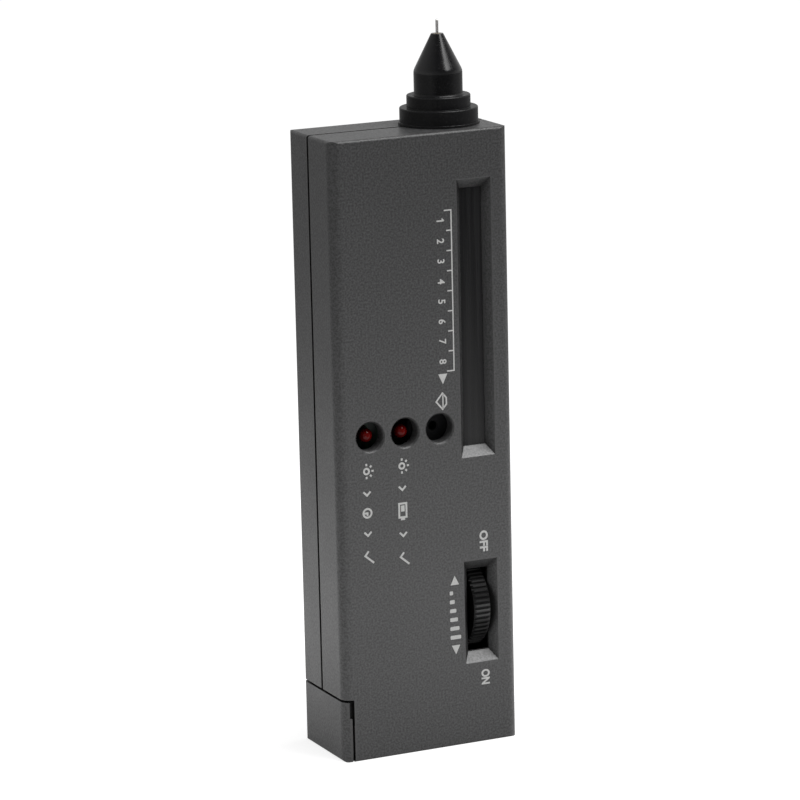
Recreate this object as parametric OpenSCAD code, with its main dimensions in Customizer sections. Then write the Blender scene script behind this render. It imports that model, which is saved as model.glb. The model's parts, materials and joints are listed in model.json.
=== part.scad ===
// Hand-held diamond tester: a slim two-shell case standing on its lower end, with a heated
// needle probe on top, a bar display, two lamps, a sound hole, a thumbwheel switch and a
// battery bay that a sliding corner door closes.
// Millimetres. X runs to the right, the display faces -Y, Z is up, and the origin lies
// under the middle of the case.

/* [Case] */
// Wall thickness of the shells and of the door
wall = 1.7; // [1.5:0.05:2.2]
// Radius of the two upright front edges
front_edge_r = 2.3; // [1:0.1:3]
// Radius of the two upright back edges
back_edge_r = 1.2; // [0.8:0.1:3]
// Radius of the edges round the top and the bottom
end_edge_r = 0.6; // [0.3:0.1:1.2]
// Depth from the front face to the middle of the seam
front_depth = 11.4; // [10.6:0.1:12.4]
// Width of the open seam line between the two shells
seam_w = 0.8; // [0.4:0.05:1]
// Width of the open seam line round the door
door_seam_w = 0.5; // [0.3:0.05:0.7]
// Thickness of the locating tongue in the seam
tongue_t = 0.8; // [0.6:0.05:0.9]
// How far the tongue reaches past the seam
tongue_reach = 1.6; // [1:0.1:2.4]
// Clearance between fitted plastic pieces
fit_gap = 0.1; // [0.05:0.01:0.2]
// Room from the board's top edge to the top wall
head_room = 8.3; // [8:0.1:14]

/* [Display] */
// Width of the display window at the floor of its recess
window_floor_w = 5; // [4:0.1:6]
// Height of the display recess at the front face
window_h = 59.7; // [50:0.1:60]
// Height of the display recess above the board's lower edge
window_rise = 3.8; // [3:0.1:8]
// Depth of both front recesses
recess_depth = 1.9; // [1.7:0.05:2.6]
// Sideways draft of a recess from face to floor
draft_side = 1.5; // [0.8:0.1:1.6]
// Lengthwise draft of a recess from face to floor
draft_end = 2.2; // [1:0.1:3]
// Thickness of the smoked window
lens_t = 1.2; // [0.8:0.1:1.6]
// How far the window laps behind the recess floor
lens_lap = 0.8; // [0.5:0.1:1]
// Wall round the window pocket
pocket_wall = 0.8; // [0.6:0.1:1.2]
// How far that wall reaches past the window's back
pocket_reach = 0.3; // [0.1:0.05:0.6]
// Number of bars in the display
bar_count = 12; // [6:1:12]
// Spacing of the bars
bar_pitch = 4.28; // [3:0.02:4.4]
// Drop from the top of the recess to the first bar
bar_drop = 8.2; // [6:0.1:9]
// Width of one bar
bar_w = 4.6; // [3:0.1:5]
// Height of one bar
bar_h = 2; // [1:0.1:2.4]
// Gap between the bars and the back of the window
bar_gap = 0.2; // [0.1:0.05:0.5]
// Width of the step round the foot of a bar
bar_flange = 0.2; // [0.1:0.05:0.4]
// Height of the step round the foot of a bar
bar_flange_t = 0.8; // [0.5:0.1:1.2]

/* [Lamps and sound] */
// Diameter of the lamp holes and of the sound hole
hole_d = 6.2; // [5:0.1:6.4]
// Spacing of the three holes
hole_pitch = 8.1; // [8:0.05:9]
// Height of the holes above the board's lower edge
hole_rise = 10.9; // [9:0.1:14]
// Distance from the sound hole to the display column
sound_shift = 8.95; // [8.8:0.05:10]
// Width of the small bevel round each hole
hole_bevel = 0.35; // [0.1:0.05:0.5]
// Wall of the collar behind each hole
collar_wall = 0.7; // [0.5:0.05:0.8]
// Depth of each collar from the front face
collar_depth = 2.9; // [2.2:0.1:3.4]
// Diameter of a lamp
lamp_d = 3; // [2:0.1:4]
// Length of a lamp from its flange to its dome
lamp_len = 5.3; // [4:0.1:6]
// Depth of a lamp's dome below the front face
lamp_sink = 1.1; // [0.8:0.1:2.2]
// Width of the flange round a lamp's foot
lamp_flange = 0.4; // [0.2:0.05:0.6]
// Thickness of a lamp's flange
lamp_flange_t = 1; // [0.6:0.1:1.4]
// Spacing of a lamp's two legs
lamp_leg_pitch = 2.54; // [2:0.02:2.6]
// Thickness of a lamp's legs
lamp_leg_t = 0.5; // [0.3:0.05:0.6]
// Diameter of the buzzer
buzzer_d = 11.4; // [9:0.1:11.8]
// Height of the buzzer on the board
buzzer_h = 5.4; // [4:0.1:6]
// Diameter of the buzzer's sound port
port_d = 2; // [1:0.1:3]
// Bevel on the buzzer's two edges
buzzer_bevel = 0.6; // [0.3:0.1:1]
// Height of the foot under the buzzer
buzzer_foot = 0.5; // [0.3:0.1:1]

/* [Thumbwheel] */
// Height of the wheel's axis above the bottom
wheel_z = 29.1; // [26:0.1:32]
// Width of the wheel's rim
wheel_w = 3.9; // [3:0.1:5]
// How far the rim stands out of the front face
wheel_proud = 0.3; // [0:0.05:0.6]
// Running gap between the rim and the back shell
wheel_back_gap = 0.6; // [0.4:0.05:1.5]
// Number of ribs on the rim
rib_count = 54; // [36:1:72]
// Depth of the ribs
rib_depth = 0.45; // [0.2:0.05:0.7]
// Bevel on both edges of the rim
rim_bevel = 0.45; // [0.2:0.05:0.8]
// Radius of the wheel's hub
hub_r = 3.4; // [3:0.1:4.5]
// Thickness of the web between hub and rim
web_t = 1.4; // [1:0.1:2]
// Radial depth of the rim
rim_t = 2.2; // [1.4:0.1:3]
// Height of the finger recess at the front face
slot_h = 22.6; // [20:0.1:24]
// Play beside the rim at the floor of its recess
slot_play = 0.5; // [0.3:0.05:0.9]
// How far the wheel stands to the right of the display column
wheel_shift = 0.3; // [0:0.05:0.4]
// Wall of the frame behind the finger recess
slot_frame_t = 1.2; // [0.8:0.1:1.6]
// How far that frame reaches past the floor of the recess
slot_frame_reach = 0.7; // [0.4:0.05:1.2]
// Gap between the battery partition and the wheel
wheel_gap_left = 1.45; // [0.6:0.05:2]
// Gap between the wheel and the control
wheel_gap_right = 0.35; // [0.2:0.05:0.8]
// Diameter of the control's can
pot_d = 11.6; // [9:0.1:12.2]
// Thickness of the control's can
pot_t = 3.7; // [3.5:0.1:5]
// Height of the round step on the control's face
pot_step = 0.4; // [0.2:0.05:0.6]
// Thickness of the control's closed end
pot_floor = 0.8; // [0.5:0.05:1.2]
// Gap between the control and the right wall
pot_gap = 0.4; // [0.2:0.05:1]
// Width of the control's pins
pin_w = 0.8; // [0.5:0.05:1]
// Thickness of the control's pins
pin_t = 0.4; // [0.2:0.05:0.6]
// Spacing of the control's three pins
pin_pitch = 1.2; // [1.1:0.05:1.5]
// How far the control's pins lap the board
pin_lap = 4; // [2:0.1:6]
// Diameter of the control's spindle
spindle_d = 4; // [3:0.1:4.4]
// Radial running gap round the spindle
run_gap = 0.05; // [0.02:0.01:0.09]
// Depth of the flat on the spindle
spindle_flat = 0.6; // [0.4:0.05:0.9]
// Play between the spindle's end and the control's closed end
spindle_end_gap = 0.2; // [0.1:0.05:0.5]
// Diameter of the wheel screw
wheel_screw_d = 1.8; // [1.4:0.1:2]
// Length of the wheel screw below its head
wheel_screw_len = 4; // [3:0.1:5]
// Diameter of the wheel screw's head
wheel_screw_head_d = 3.4; // [3:0.1:4]
// Height of the wheel screw's head
wheel_screw_head_h = 1.1; // [0.8:0.1:1.2]
// Depth of the wheel screw's seat
wheel_screw_seat = 1.3; // [1.2:0.05:1.6]

/* [Probe] */
// Distance from the display column to the probe's axis
probe_shift = 2.2; // [0:0.1:3]
// Diameter of the flange on top of the case
flange_d = 16.6; // [14:0.1:18]
// Height of the flange
flange_h = 3.6; // [2.5:0.1:5]
// Diameter of the step above the flange
step_d = 13.5; // [12:0.1:14]
// Height of the step
step_h = 2.6; // [2:0.1:4]
// Diameter of the nose
nose_d = 10.3; // [9.4:0.1:11]
// Height of the nose's straight part
nose_h = 5.1; // [4:0.1:7]
// Height of the nose's cone
cone_h = 7.7; // [7:0.1:10]
// Diameter of the flat tip of the cone
tip_d = 2.6; // [2.4:0.1:3.4]
// Small rounding on the flange and the step
ring_r = 0.25; // [0.15:0.05:0.5]
// Width of the thin rim round the flange's foot
rim_w = 0.3; // [0.1:0.05:0.5]
// Height of that rim
rim_h = 0.5; // [0.3:0.05:0.8]
// Radius of the hollow round the nose's foot
foot_r = 0.4; // [0.2:0.05:0.6]
// Rounding between the nose's straight part and its cone
shoulder_r = 2.5; // [1:0.1:4]
// Diameter of the neck in the top wall
neck_d = 9.6; // [9.2:0.1:10]
// Diameter of the collar's flange inside the case
inner_flange_d = 12.8; // [11:0.1:13]
// Thickness of the collar's flange inside the case
inner_flange_t = 1.6; // [1.2:0.1:2]
// Diameter of the nose's tail inside the collar
tail_d = 7.4; // [6:0.1:7.8]
// Diameter of the needle
needle_d = 0.6; // [0.4:0.05:0.8]
// How far the needle stands out of the tip
needle_out = 3; // [2:0.1:4]
// How far the needle can be pressed in
needle_travel = 1.5; // [0.8:0.1:2]
// Diameter of the needle's guide in the tip
bush_d = 1.7; // [1.4:0.05:1.9]
// Length of the needle's guide
bush_len = 4.8; // [3:0.1:5.5]
// Diameter of the bore for the needle's slug and spring
slug_bore_d = 3.8; // [3.4:0.1:4.2]
// Length of the needle's copper slug
slug_len = 3; // [2:0.1:4]
// Free gap between the slug and its stop
slug_stop_gap = 0.1; // [0.05:0.01:0.3]
// Bevel on the slug's upper edge
slug_bevel = 0.4; // [0.2:0.05:0.6]
// Length of the heater sleeve below the slug
heater_len = 4.2; // [3:0.1:5]
// Diameter of the heater sleeve
heater_d = 1.9; // [1.6:0.05:2.1]
// Diameter of the needle's tail in the heater
needle_tail_d = 0.9; // [0.6:0.05:1.1]
// Radial gap between the heater and the needle's tail
heater_gap = 0.05; // [0.02:0.01:0.1]
// Radial running gap of the needle in its guide
needle_gap = 0.04; // [0.02:0.01:0.08]
// Radial gap round pieces that are pressed in
press_gap = 0.03; // [0.01:0.01:0.06]
// Diameter of the spring wire
wire_d = 0.36; // [0.24:0.02:0.44]
// Middle diameter of the spring's turns
spring_d = 2.8; // [2.6:0.05:3]
// Number of turns in the spring
spring_turns = 9; // [6:1:12]
// How far the needle's tail stands out of the heater
tail_over = 0.6; // [0.3:0.1:1]
// Room below the needle's tail when the needle is pressed in
tail_clear = 4.3; // [3:0.1:4.6]
// Thickness of the terminal under the spring
terminal_t = 2; // [1.4:0.1:2.6]
// Width and height of the step under the terminal
terminal_step = 0.5; // [0.3:0.05:0.8]

/* [Battery bay] */
// Width of the block battery
battery_w = 26.2; // [25:0.1:27]
// Depth of the block battery
battery_d = 16.8; // [16:0.1:17.8]
// Height of the battery's can without its studs
battery_h = 46.4; // [44:0.1:48]
// Radius of the battery's upright edges
battery_edge_r = 2.2; // [1:0.1:3]
// Thickness of the battery's crimped cap
battery_cap_t = 1.2; // [0.8:0.1:2]
// Inset of the battery's cap from its can
battery_cap_inset = 0.5; // [0.3:0.05:0.8]
// Height of the battery's studs
stud_h = 2.2; // [1.6:0.1:2.6]
// Distance between the battery's two studs
stud_pitch = 12.7; // [12:0.1:13.2]
// Diameter of the battery's round stud
stud_d = 5.6; // [5:0.1:6]
// Width across the battery's socket stud
socket_d = 7.8; // [7:0.1:8.4]
// Radial gap between a stud and its pocket in the snap
stud_gap = 0.3; // [0.1:0.05:0.4]
// Play on each side of the battery
bay_side_gap = 0.2; // [0.1:0.05:0.5]
// Play in front of and behind the battery
bay_face_gap = 0.4; // [0.3:0.05:0.8]
// Play below the battery and under its snap
bay_end_gap = 0.2; // [0.1:0.05:0.5]
// Thickness of the wall beside the battery
partition_t = 1.2; // [0.9:0.1:1.6]
// Gap between that wall and the door's plate
partition_lift = 1.2; // [0.5:0.1:2]
// Gap between that wall and the board's leg
partition_drop = 1; // [0.5:0.1:2]
// Thickness of the shelf over the snap
shelf_t = 1.2; // [0.8:0.1:1.6]
// Reach of the shelf from the front wall
shelf_depth = 4.6; // [3:0.1:5]
// Gap between the snap and the shelf
shelf_gap = 0.6; // [0.3:0.1:1]
// Height of the battery snap
snap_h = 4.5; // [3.5:0.1:6]
// Depth of the battery snap
snap_d = 12.6; // [11:0.1:14]
// Width of the battery snap
snap_w = 25; // [23:0.1:25.6]
// Radius of the battery snap's upright edges
snap_edge_r = 5; // [2:0.1:5.4]
// Room for the leads between the snap and the board
lead_room = 6.2; // [5.8:0.1:9]

/* [Battery door] */
// Height of the door on the side of the case
door_h = 13.4; // [10:0.1:17]
// Width of the door's returns on the front and back
door_return = 2; // [1.9:0.1:4]
// Sliding clearance of the door
slide_gap = 0.15; // [0.1:0.01:0.25]
// Thickness of the door's runner
runner_t = 0.7; // [0.5:0.05:0.8]
// Reach of the door's runner into its groove
runner_reach = 0.7; // [0.4:0.05:0.9]
// Reach of the lips behind the door's seams
lip_reach = 1.2; // [0.8:0.1:1.6]
// Width of the nail notch in the door's front edge
nail_w = 0.5; // [0.3:0.05:0.6]
// Length of the nail notch
nail_h = 3.6; // [2:0.1:5]
// Depth of the nail notch
nail_depth = 0.75; // [0.4:0.05:0.75]

/* [Circuit board] */
// Height of the board's main panel
board_h = 63.8; // [63.6:0.1:70]
// Thickness of the board
board_t = 1.6; // [1:0.1:1.6]
// Gap between the board and the side walls
board_gap = 0.6; // [0.3:0.1:1]
// Height of the posts under the board
post_h = 7.3; // [7:0.1:7.6]
// Radius of the board posts
post_r = 1.5; // [1.4:0.05:1.7]
// Distance from the board's left edge to its posts
post_inset_left = 2; // [1.9:0.1:2.2]
// Distance from the board's right edge to its posts
post_inset_right = 1.1; // [1:0.1:1.3]
// Distance from the board's lower edge to its posts
post_inset_low = 3.8; // [3.4:0.1:4.4]
// Distance from the board's top edge to its posts
post_inset_high = 4; // [3:0.1:5]
// Depth of the screw holes in the posts
post_hole = 5; // [4:0.1:6]
// Diameter of the board screws
board_screw_d = 1.6; // [1.2:0.1:1.8]
// Length of a board screw beyond the board
board_screw_grip = 3.4; // [2:0.1:4]
// Diameter of the board screws' heads
board_screw_head_d = 2.9; // [2.4:0.1:3.2]
// Height of the board screws' heads
board_screw_head_h = 1.2; // [0.8:0.1:1.6]
// Radial gap round the board screws in the board
board_hole_gap = 0.2; // [0.1:0.05:0.3]
// Clearance between the wheel and the board's leg
leg_gap = 2.4; // [1:0.1:4]
// Gap between the battery partition and the board's leg
leg_side_gap = 0.4; // [0.2:0.05:1]
// Number of legs on the display's driver chip
driver_leg_count = 18; // [14:2:20]
// Number of legs on the amplifier chip
amplifier_leg_count = 8; // [6:2:8]
// Distance from the board's left edge to the middle of the chips
chip_inset = 12.5; // [11:0.1:13.4]
// Distance from the board's top edge to the middle of the driver chip
driver_drop = 24; // [20:0.1:27]
// Height of the amplifier chip's middle above the board's lower edge
amplifier_rise = 12; // [9:0.1:15]
// Standing height of a chip's body above the board
chip_lift = 0.5; // [0.3:0.1:1]
// Width of a chip's body
chip_w = 6.4; // [5.6:0.1:7]
// Height of a chip's body
chip_h = 3.3; // [2.5:0.1:3.6]
// Radius of the notch in a chip's end
chip_notch_r = 0.9; // [0.5:0.1:1.2]
// Spacing of a chip's legs
leg_pitch = 2.54; // [2.4:0.02:2.6]
// Width of a chip's legs
leg_w = 0.6; // [0.4:0.05:0.8]
// Thickness of a chip's legs
leg_t = 0.3; // [0.2:0.05:0.4]
// Distance of a chip's legs from its body
leg_splay = 0.3; // [0.2:0.05:0.6]
// How much shorter a chip's body is than its row of leg spaces
chip_short = 0.4; // [0.2:0.1:1]
// Diameter of a capacitor
cap_d = 5; // [4:0.1:6]
// Height of a capacitor
cap_h = 7; // [5:0.1:8]
// Bevels and depth of the groove on a capacitor
cap_bevel = 0.3; // [0.2:0.05:0.5]
// Height of a capacitor's groove
cap_groove_z = 1.3; // [1:0.1:2]
// Distance from the board's left edge to the two capacitors in a column
cap_inset = 4.5; // [4.2:0.1:5.5]
// Height of the column's lower capacitor above the board's lower edge
cap_rise = 22; // [18:0.1:24]
// Spacing of the two capacitors in the column
cap_pitch = 7; // [6.2:0.1:8]
// Distance from the board's left edge to the single capacitor
lone_cap_inset = 22; // [20.5:0.1:24]
// Height of the single capacitor above the board's lower edge
lone_cap_rise = 9; // [7:0.1:11]
// Number of resistors in a column
resistor_rows = 3; // [1:1:3]
// Distance from the board's left edge to the first column of resistors
resistor_inset = 20; // [19:0.1:21]
// Spacing of the two columns of resistors
resistor_column = 7; // [6.4:0.1:8]
// Distance from the board's top edge to the first row of resistors
resistor_drop = 14; // [10:0.1:16]
// Spacing of the rows of resistors
resistor_pitch = 8; // [4:0.1:9]
// Diameter of a resistor's body
resistor_d = 1.8; // [1.4:0.1:2.4]
// Length of a resistor's body
resistor_len = 3.6; // [3:0.1:4.4]
// Diameter of a resistor's waist
resistor_waist_d = 1.5; // [1:0.1:1.8]
// Length of a resistor's thicker ends
resistor_end = 0.9; // [0.6:0.1:1.2]
// Bevel on a resistor's thicker ends
resistor_bevel = 0.2; // [0.1:0.05:0.3]
// Diameter of a resistor's wires
resistor_wire_d = 0.5; // [0.3:0.05:0.6]
// Reach of a resistor's wires past its body
resistor_wire_out = 0.9; // [0.6:0.1:1.2]
// Edge of the trimmer's square body
trimmer_w = 6.4; // [5:0.1:7]
// Height of the trimmer
trimmer_h = 4; // [3:0.1:5]
// Diameter of the trimmer's dial
trimmer_dial_d = 4.6; // [3:0.1:5]
// Height of the trimmer's dial
trimmer_dial_h = 0.5; // [0.3:0.1:1]
// Width of the slot in the trimmer's dial
trimmer_slot_w = 0.6; // [0.4:0.1:1]
// Distance from the board's left edge to the middle of the trimmer
trimmer_inset = 25; // [23:0.1:28]
// Gap between the trimmer and the lowest resistors
trimmer_gap = 5.7; // [1:0.1:7]

/* [Case screws] */
// Diameter of the case screws
screw_d = 2.2; // [1.8:0.1:2.4]
// Diameter of the case screws' heads
screw_head_d = 4; // [3.4:0.1:4.4]
// Height of the case screws' heads
screw_head_h = 1.4; // [1:0.1:1.8]
// Depth of the heads' seats from the back face
screw_seat = 2.6; // [2.2:0.1:4]
// Length of a case screw below its head
screw_len = 11; // [9:0.5:12]
// Radius of the screw bosses on the front shell
boss_front_r = 2.4; // [2:0.1:2.4]
// Radius of the screw bosses on the back shell
boss_back_r = 3.1; // [2.9:0.1:3.2]
// Distance of the screws from the inside of the side walls
screw_inset = 3; // [2.6:0.1:3.2]
// Height of the two upper screws above the board
high_screw_rise = 2.9; // [2.6:0.1:4]
// Distance of the left screw below the board
left_screw_drop = 2.8; // [2.6:0.1:3]
// Height of the lower screw above the bottom
low_screw_z = 9; // [7:0.1:12]
// Radial gap round a screw in the back shell
screw_gap = 0.1; // [0.05:0.01:0.2]
// Free depth of a boss below the screw's end
screw_end_gap = 0.5; // [0.2:0.1:1]

/* [Leads] */
// Diameter of the battery leads
lead_d = 1.3; // [1:0.1:1.4]
// Spacing of the battery leads at the snap
lead_pitch = 5; // [3:0.1:8]
// Shift of the battery leads to the left of the snap's middle
lead_shift = 1; // [0:0.1:3]
// Distance of the battery leads behind the snap's middle
lead_back = 3; // [2:0.1:4]
// Diameter of the probe leads
fine_lead_d = 0.9; // [0.6:0.1:1]
// Spacing of the probe leads
fine_lead_pitch = 1.8; // [1.4:0.1:2]

/* [Hidden] */
$fn = 96;
// Overlap that carries a cut or a joined form past a face
over = 1;
// Overlap that roots a rib or a post in its wall
root = 0.4;

// The case is as deep as the battery and as wide as the battery, the wheel and the control
case_d = 2 * wall + 2 * bay_face_gap + battery_d;
case_w = 2 * wall + battery_w + 2 * bay_side_gap + partition_t
    + wheel_gap_left + wheel_w + wheel_gap_right + pot_t + pot_gap;
left = -case_w / 2;
right = case_w / 2;
front = -case_d / 2;
back = case_d / 2;
inner_left = left + wall;
inner_right = right - wall;
inner_front = front + wall;
inner_back = back - wall;
battery_x = inner_left + bay_side_gap;
partition_x = battery_x + battery_w + bay_side_gap;
wheel_x = partition_x + partition_t + wheel_gap_left;
column_x = wheel_x + wheel_w / 2 - wheel_shift;
pot_x = wheel_x + wheel_w + wheel_gap_right;

// Going up: door plate, battery, snap, leads, board, room for the probe, top wall
battery_z = wall + bay_end_gap;
snap_z = battery_z + battery_h + bay_end_gap;
snap_top = snap_z + snap_h;
board_z = snap_top + lead_room;
board_top = board_z + board_h;
case_h = board_top + head_room + wall;

// The seam between the shells
seam_y = front + front_depth;
seam_front = seam_y - seam_w / 2;
seam_back = seam_y + seam_w / 2;
tongue_edge = wall - tongue_t;
tongue_front = seam_front - tongue_reach;

// The board stands on posts behind the front wall
board_front = inner_front + post_h;
board_back = board_front + board_t;
board_left = inner_left + board_gap;
board_right = inner_right - board_gap;
post_left = board_left + post_inset_left;
post_right = board_right - post_inset_right;
post_low = board_z + post_inset_low;
post_high = board_top - post_inset_high;
post_places = [
    [post_left, post_low], [post_left, post_high], [post_right, post_low], [post_right, post_high]
];

// The display and its window
window_z = board_z + window_rise;
window_mid_z = window_z + window_h / 2;
window_floor_h = window_h - 2 * draft_end;
lens_front = front + recess_depth;
lens_back = lens_front + lens_t;
lens_w = window_floor_w + 2 * lens_lap;
lens_h = window_floor_h + 2 * lens_lap;
pocket_back = lens_back + pocket_reach;
bar_front = lens_back + bar_gap;
bar_z = window_z + window_h - bar_drop;

// The row of holes
hole_z = board_z + hole_rise;
sound_x = column_x - sound_shift;
battery_lamp_x = sound_x - hole_pitch;
ready_lamp_x = battery_lamp_x - hole_pitch;
collar_r = hole_d / 2 + collar_wall;
lamp_front = front + lamp_sink;

// The wheel fills the depth of the case from its front face to the back shell
wheel_r = (case_d - wall + wheel_proud - wheel_back_gap) / 2;
wheel_y = front - wheel_proud + wheel_r;
slot_floor_w = wheel_w + 2 * slot_play;
slot_floor_h = slot_h - 2 * draft_end;
slot_frame_back = lens_front + slot_frame_reach;
spindle_r = spindle_d / 2;
leg_z = wheel_z + wheel_r + leg_gap;
leg_left = partition_x + partition_t + leg_side_gap;

// The probe's axis lies in the seam, so that the two shells clamp its neck
probe_x = column_x - probe_shift;
probe_y = seam_y;
flange_z = case_h;
step_z = flange_z + flange_h;
nose_z = step_z + step_h;
cone_z = nose_z + nose_h;
tip_z = cone_z + cone_h;
needle_top = tip_z + needle_out;
neck_low = case_h - wall - fit_gap;
collar_low = neck_low - inner_flange_t;
bush_z = tip_z - bush_len;
slug_top = bush_z - slug_stop_gap;
slug_z = slug_top - slug_len;
spring_len = heater_len + tail_over + needle_travel + tail_clear;
spring_z = slug_z - spring_len;
terminal_z = spring_z - terminal_t;
tail_end_z = slug_z - heater_len - tail_over;

// The battery door
door_seam_x = left + door_return;
plate_end = partition_x + partition_t;
runner_z = (wall - runner_t) / 2;
partition_z = wall + partition_lift;
partition_top = leg_z - partition_drop;
shelf_z = snap_top + shelf_gap;

// The screws that join the shells
boss_left = inner_left + screw_inset;
boss_right = inner_right - screw_inset;
high_screw_z = board_top + high_screw_rise;
screw_places = [
    [boss_left, high_screw_z], [boss_right, high_screw_z],
    [boss_left, board_z - left_screw_drop], [boss_right, low_screw_z]
];
screw_seat_y = back - screw_seat;

// Places of the parts on the back of the board
chip_x = board_left + chip_inset;
driver_z = board_top - driver_drop;
amplifier_z = board_z + amplifier_rise;
cap_places = [
    for (i = [0, 1]) [board_left + cap_inset, board_z + cap_rise + i * cap_pitch],
    [board_left + lone_cap_inset, board_z + lone_cap_rise]
];
resistor_x = board_left + resistor_inset;
resistor_z = board_top - resistor_drop;
resistor_places = [
    for (x = [resistor_x, resistor_x + resistor_column], row = [0:resistor_rows - 1])
        [x, resistor_z - row * resistor_pitch]
];
resistor_low = resistor_z - (resistor_rows - 1) * resistor_pitch - resistor_d / 2;
trimmer_x = board_left + trimmer_inset;
trimmer_z = resistor_low - trimmer_gap - trimmer_w / 2;

// Routes of the leads, from the snap and from the probe's terminal to the board's back
battery_mid_x = battery_x + battery_w / 2;
positive_x = battery_mid_x - lead_shift - lead_pitch / 2;
negative_x = positive_x + lead_pitch;
lead_rise = [
    [0, 0, 0], [0, 0, 1], [0, 0, 2], [0, 0.2, 4], [0, -0.6, 6.6], [0, -2, 8.8], [0, -2.2, 10.6]
];
probe_lead_drop = [
    [0, 0, 0], [0, 0, -1.5], [0, 0, -3], [0, 0.5, -6.5], [0, 0.2, -9.5], [0, -0.3, -12]
];

// Steps between the points of a lead's route, sides of a lead and of the spring's wire, and
// points on one turn of the spring
lead_steps = 3;
lead_sides = 8;
wire_sides = 6;
turn_points = 10;

case_grey = [0.33, 0.33, 0.34];
probe_black = [0.07, 0.07, 0.075];
pcb_green = [0.1, 0.36, 0.2];
chip_black = [0.1, 0.1, 0.11];
tin = [0.75, 0.76, 0.78];
brass = [0.78, 0.62, 0.3];
copper = [0.76, 0.45, 0.3];

// Rectangle from y = 0 upwards with one radius at its lower and one at its upper corners
module soft_rect(w, h, r_low, r_high) {
    polygon([
        [-w / 2 + r_low, 0], [w / 2 - r_low, 0], [w / 2, r_low], [w / 2, h - r_high],
        [w / 2 - r_high, h], [-w / 2 + r_high, h], [-w / 2, h - r_high], [-w / 2, r_low]
    ]);
    for (side = [-1, 1]) {
        translate([side * (w / 2 - r_low), r_low]) circle(r_low);
        translate([side * (w / 2 - r_high), h - r_high]) circle(r_high);
    }
}

// Box given by its two opposite corners
module span(low, high) {
    translate(low) cube(high - low);
}

// Turns a form that stands on z = 0 so that it points out of the board's front
module on_board_front(x, z) {
    translate([x, board_front, z]) rotate([90, 0, 0]) children();
}

// Turns a form that stands on z = 0 so that it points out of the board's back
module on_board_back(x, z) {
    translate([x, board_back, z]) rotate([-90, 0, 0]) children();
}

// Turns a form about z so that its axis runs to the right through the wheel
module on_wheel_axis(x) {
    translate([x, wheel_y, wheel_z]) rotate([0, 90, 0]) children();
}

module on_probe_axis() {
    translate([probe_x, probe_y, 0]) children();
}

// Outer form of the whole case: a plan, a front and a side outline cut by one another
module case_block() {
    intersection() {
        linear_extrude(case_h) translate([0, front])
            soft_rect(case_w, case_d, front_edge_r, back_edge_r);
        translate([0, back, 0]) rotate([90, 0, 0]) linear_extrude(case_d)
            soft_rect(case_w, case_h, end_edge_r, end_edge_r);
        translate([left, 0, 0]) rotate([90, 0, 90]) linear_extrude(case_w)
            soft_rect(case_d, case_h, end_edge_r, end_edge_r);
    }
}

module cavity() {
    span([inner_left, inner_front, wall], [inner_right, inner_back, case_h - wall]);
}

// Ring of the inner part of the wall, which the tongue fills, grown by a gap
module tongue_ring(gap, low_y, high_y) {
    edge = tongue_edge - gap;
    difference() {
        span([left + edge, low_y, edge], [right - edge, high_y, case_h - edge]);
        span([inner_left, low_y - over, wall], [inner_right, high_y + over, case_h - wall]);
    }
}

// Recess with four drafted walls, cut by two crossed trapezoids
module recess(x, z, floor_w, floor_h) {
    reach = recess_depth + over;
    mouth = over / recess_depth;
    wide = floor_w / 2 + draft_side * (1 + mouth);
    tall = floor_h / 2 + draft_end * (1 + mouth);
    translate([x, front - over, z]) intersection() {
        translate([0, 0, -tall]) linear_extrude(2 * tall)
            polygon([[-wide, 0], [wide, 0], [floor_w / 2, reach], [-floor_w / 2, reach]]);
        translate([-wide, 0, 0]) rotate([90, 0, 90]) linear_extrude(2 * wide)
            polygon([[0, -tall], [reach, -floor_h / 2], [reach, floor_h / 2], [0, tall]]);
    }
}

// Plate of a given size round a point of the front
module panel(x, z, w, h, low_y, high_y) {
    span([x - w / 2, low_y, z - h / 2], [x + w / 2, high_y, z + h / 2]);
}

module window_frame() {
    border = 2 * (fit_gap + pocket_wall);
    panel(column_x, window_mid_z, lens_w + border, lens_h + border, inner_front - root, pocket_back);
}

module window_cut() {
    recess(column_x, window_mid_z, window_floor_w, window_floor_h);
    panel(column_x, window_mid_z, window_floor_w, window_floor_h, lens_front - root, pocket_back);
    panel(column_x, window_mid_z, lens_w + 2 * fit_gap, lens_h + 2 * fit_gap,
        lens_front, pocket_back + over);
}

module slot_frame() {
    panel(column_x, wheel_z, slot_floor_w + 2 * slot_frame_t, slot_floor_h + 2 * slot_frame_t,
        inner_front - root, slot_frame_back);
}

module slot_cut() {
    recess(column_x, wheel_z, slot_floor_w, slot_floor_h);
    panel(column_x, wheel_z, slot_floor_w, slot_floor_h, lens_front - root, slot_frame_back + over);
}

module at_holes() {
    for (x = [ready_lamp_x, battery_lamp_x, sound_x])
        translate([x, front, hole_z]) rotate([-90, 0, 0]) children();
}

module hole_collars() {
    at_holes() translate([0, 0, wall - root])
        cylinder(h = collar_depth - wall + root, r = collar_r);
}

module hole_cuts() {
    bevel_r = hole_d / 2 + hole_bevel;
    at_holes() {
        translate([0, 0, -over]) cylinder(h = collar_depth + 2 * over, d = hole_d);
        translate([0, 0, -over]) cylinder(h = over + hole_bevel, r1 = bevel_r + over, r2 = hole_d / 2);
    }
}

// Round post along y between two depths
module post(place, r, low_y, high_y) {
    translate([place[0], low_y, place[1]]) rotate([-90, 0, 0]) cylinder(h = high_y - low_y, r = r);
}

// Hole in the top wall for the probe's neck
module neck_hole() {
    on_probe_axis() translate([0, 0, neck_low - over])
        cylinder(h = wall + 2 * over, d = neck_d + 2 * fit_gap);
}

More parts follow.
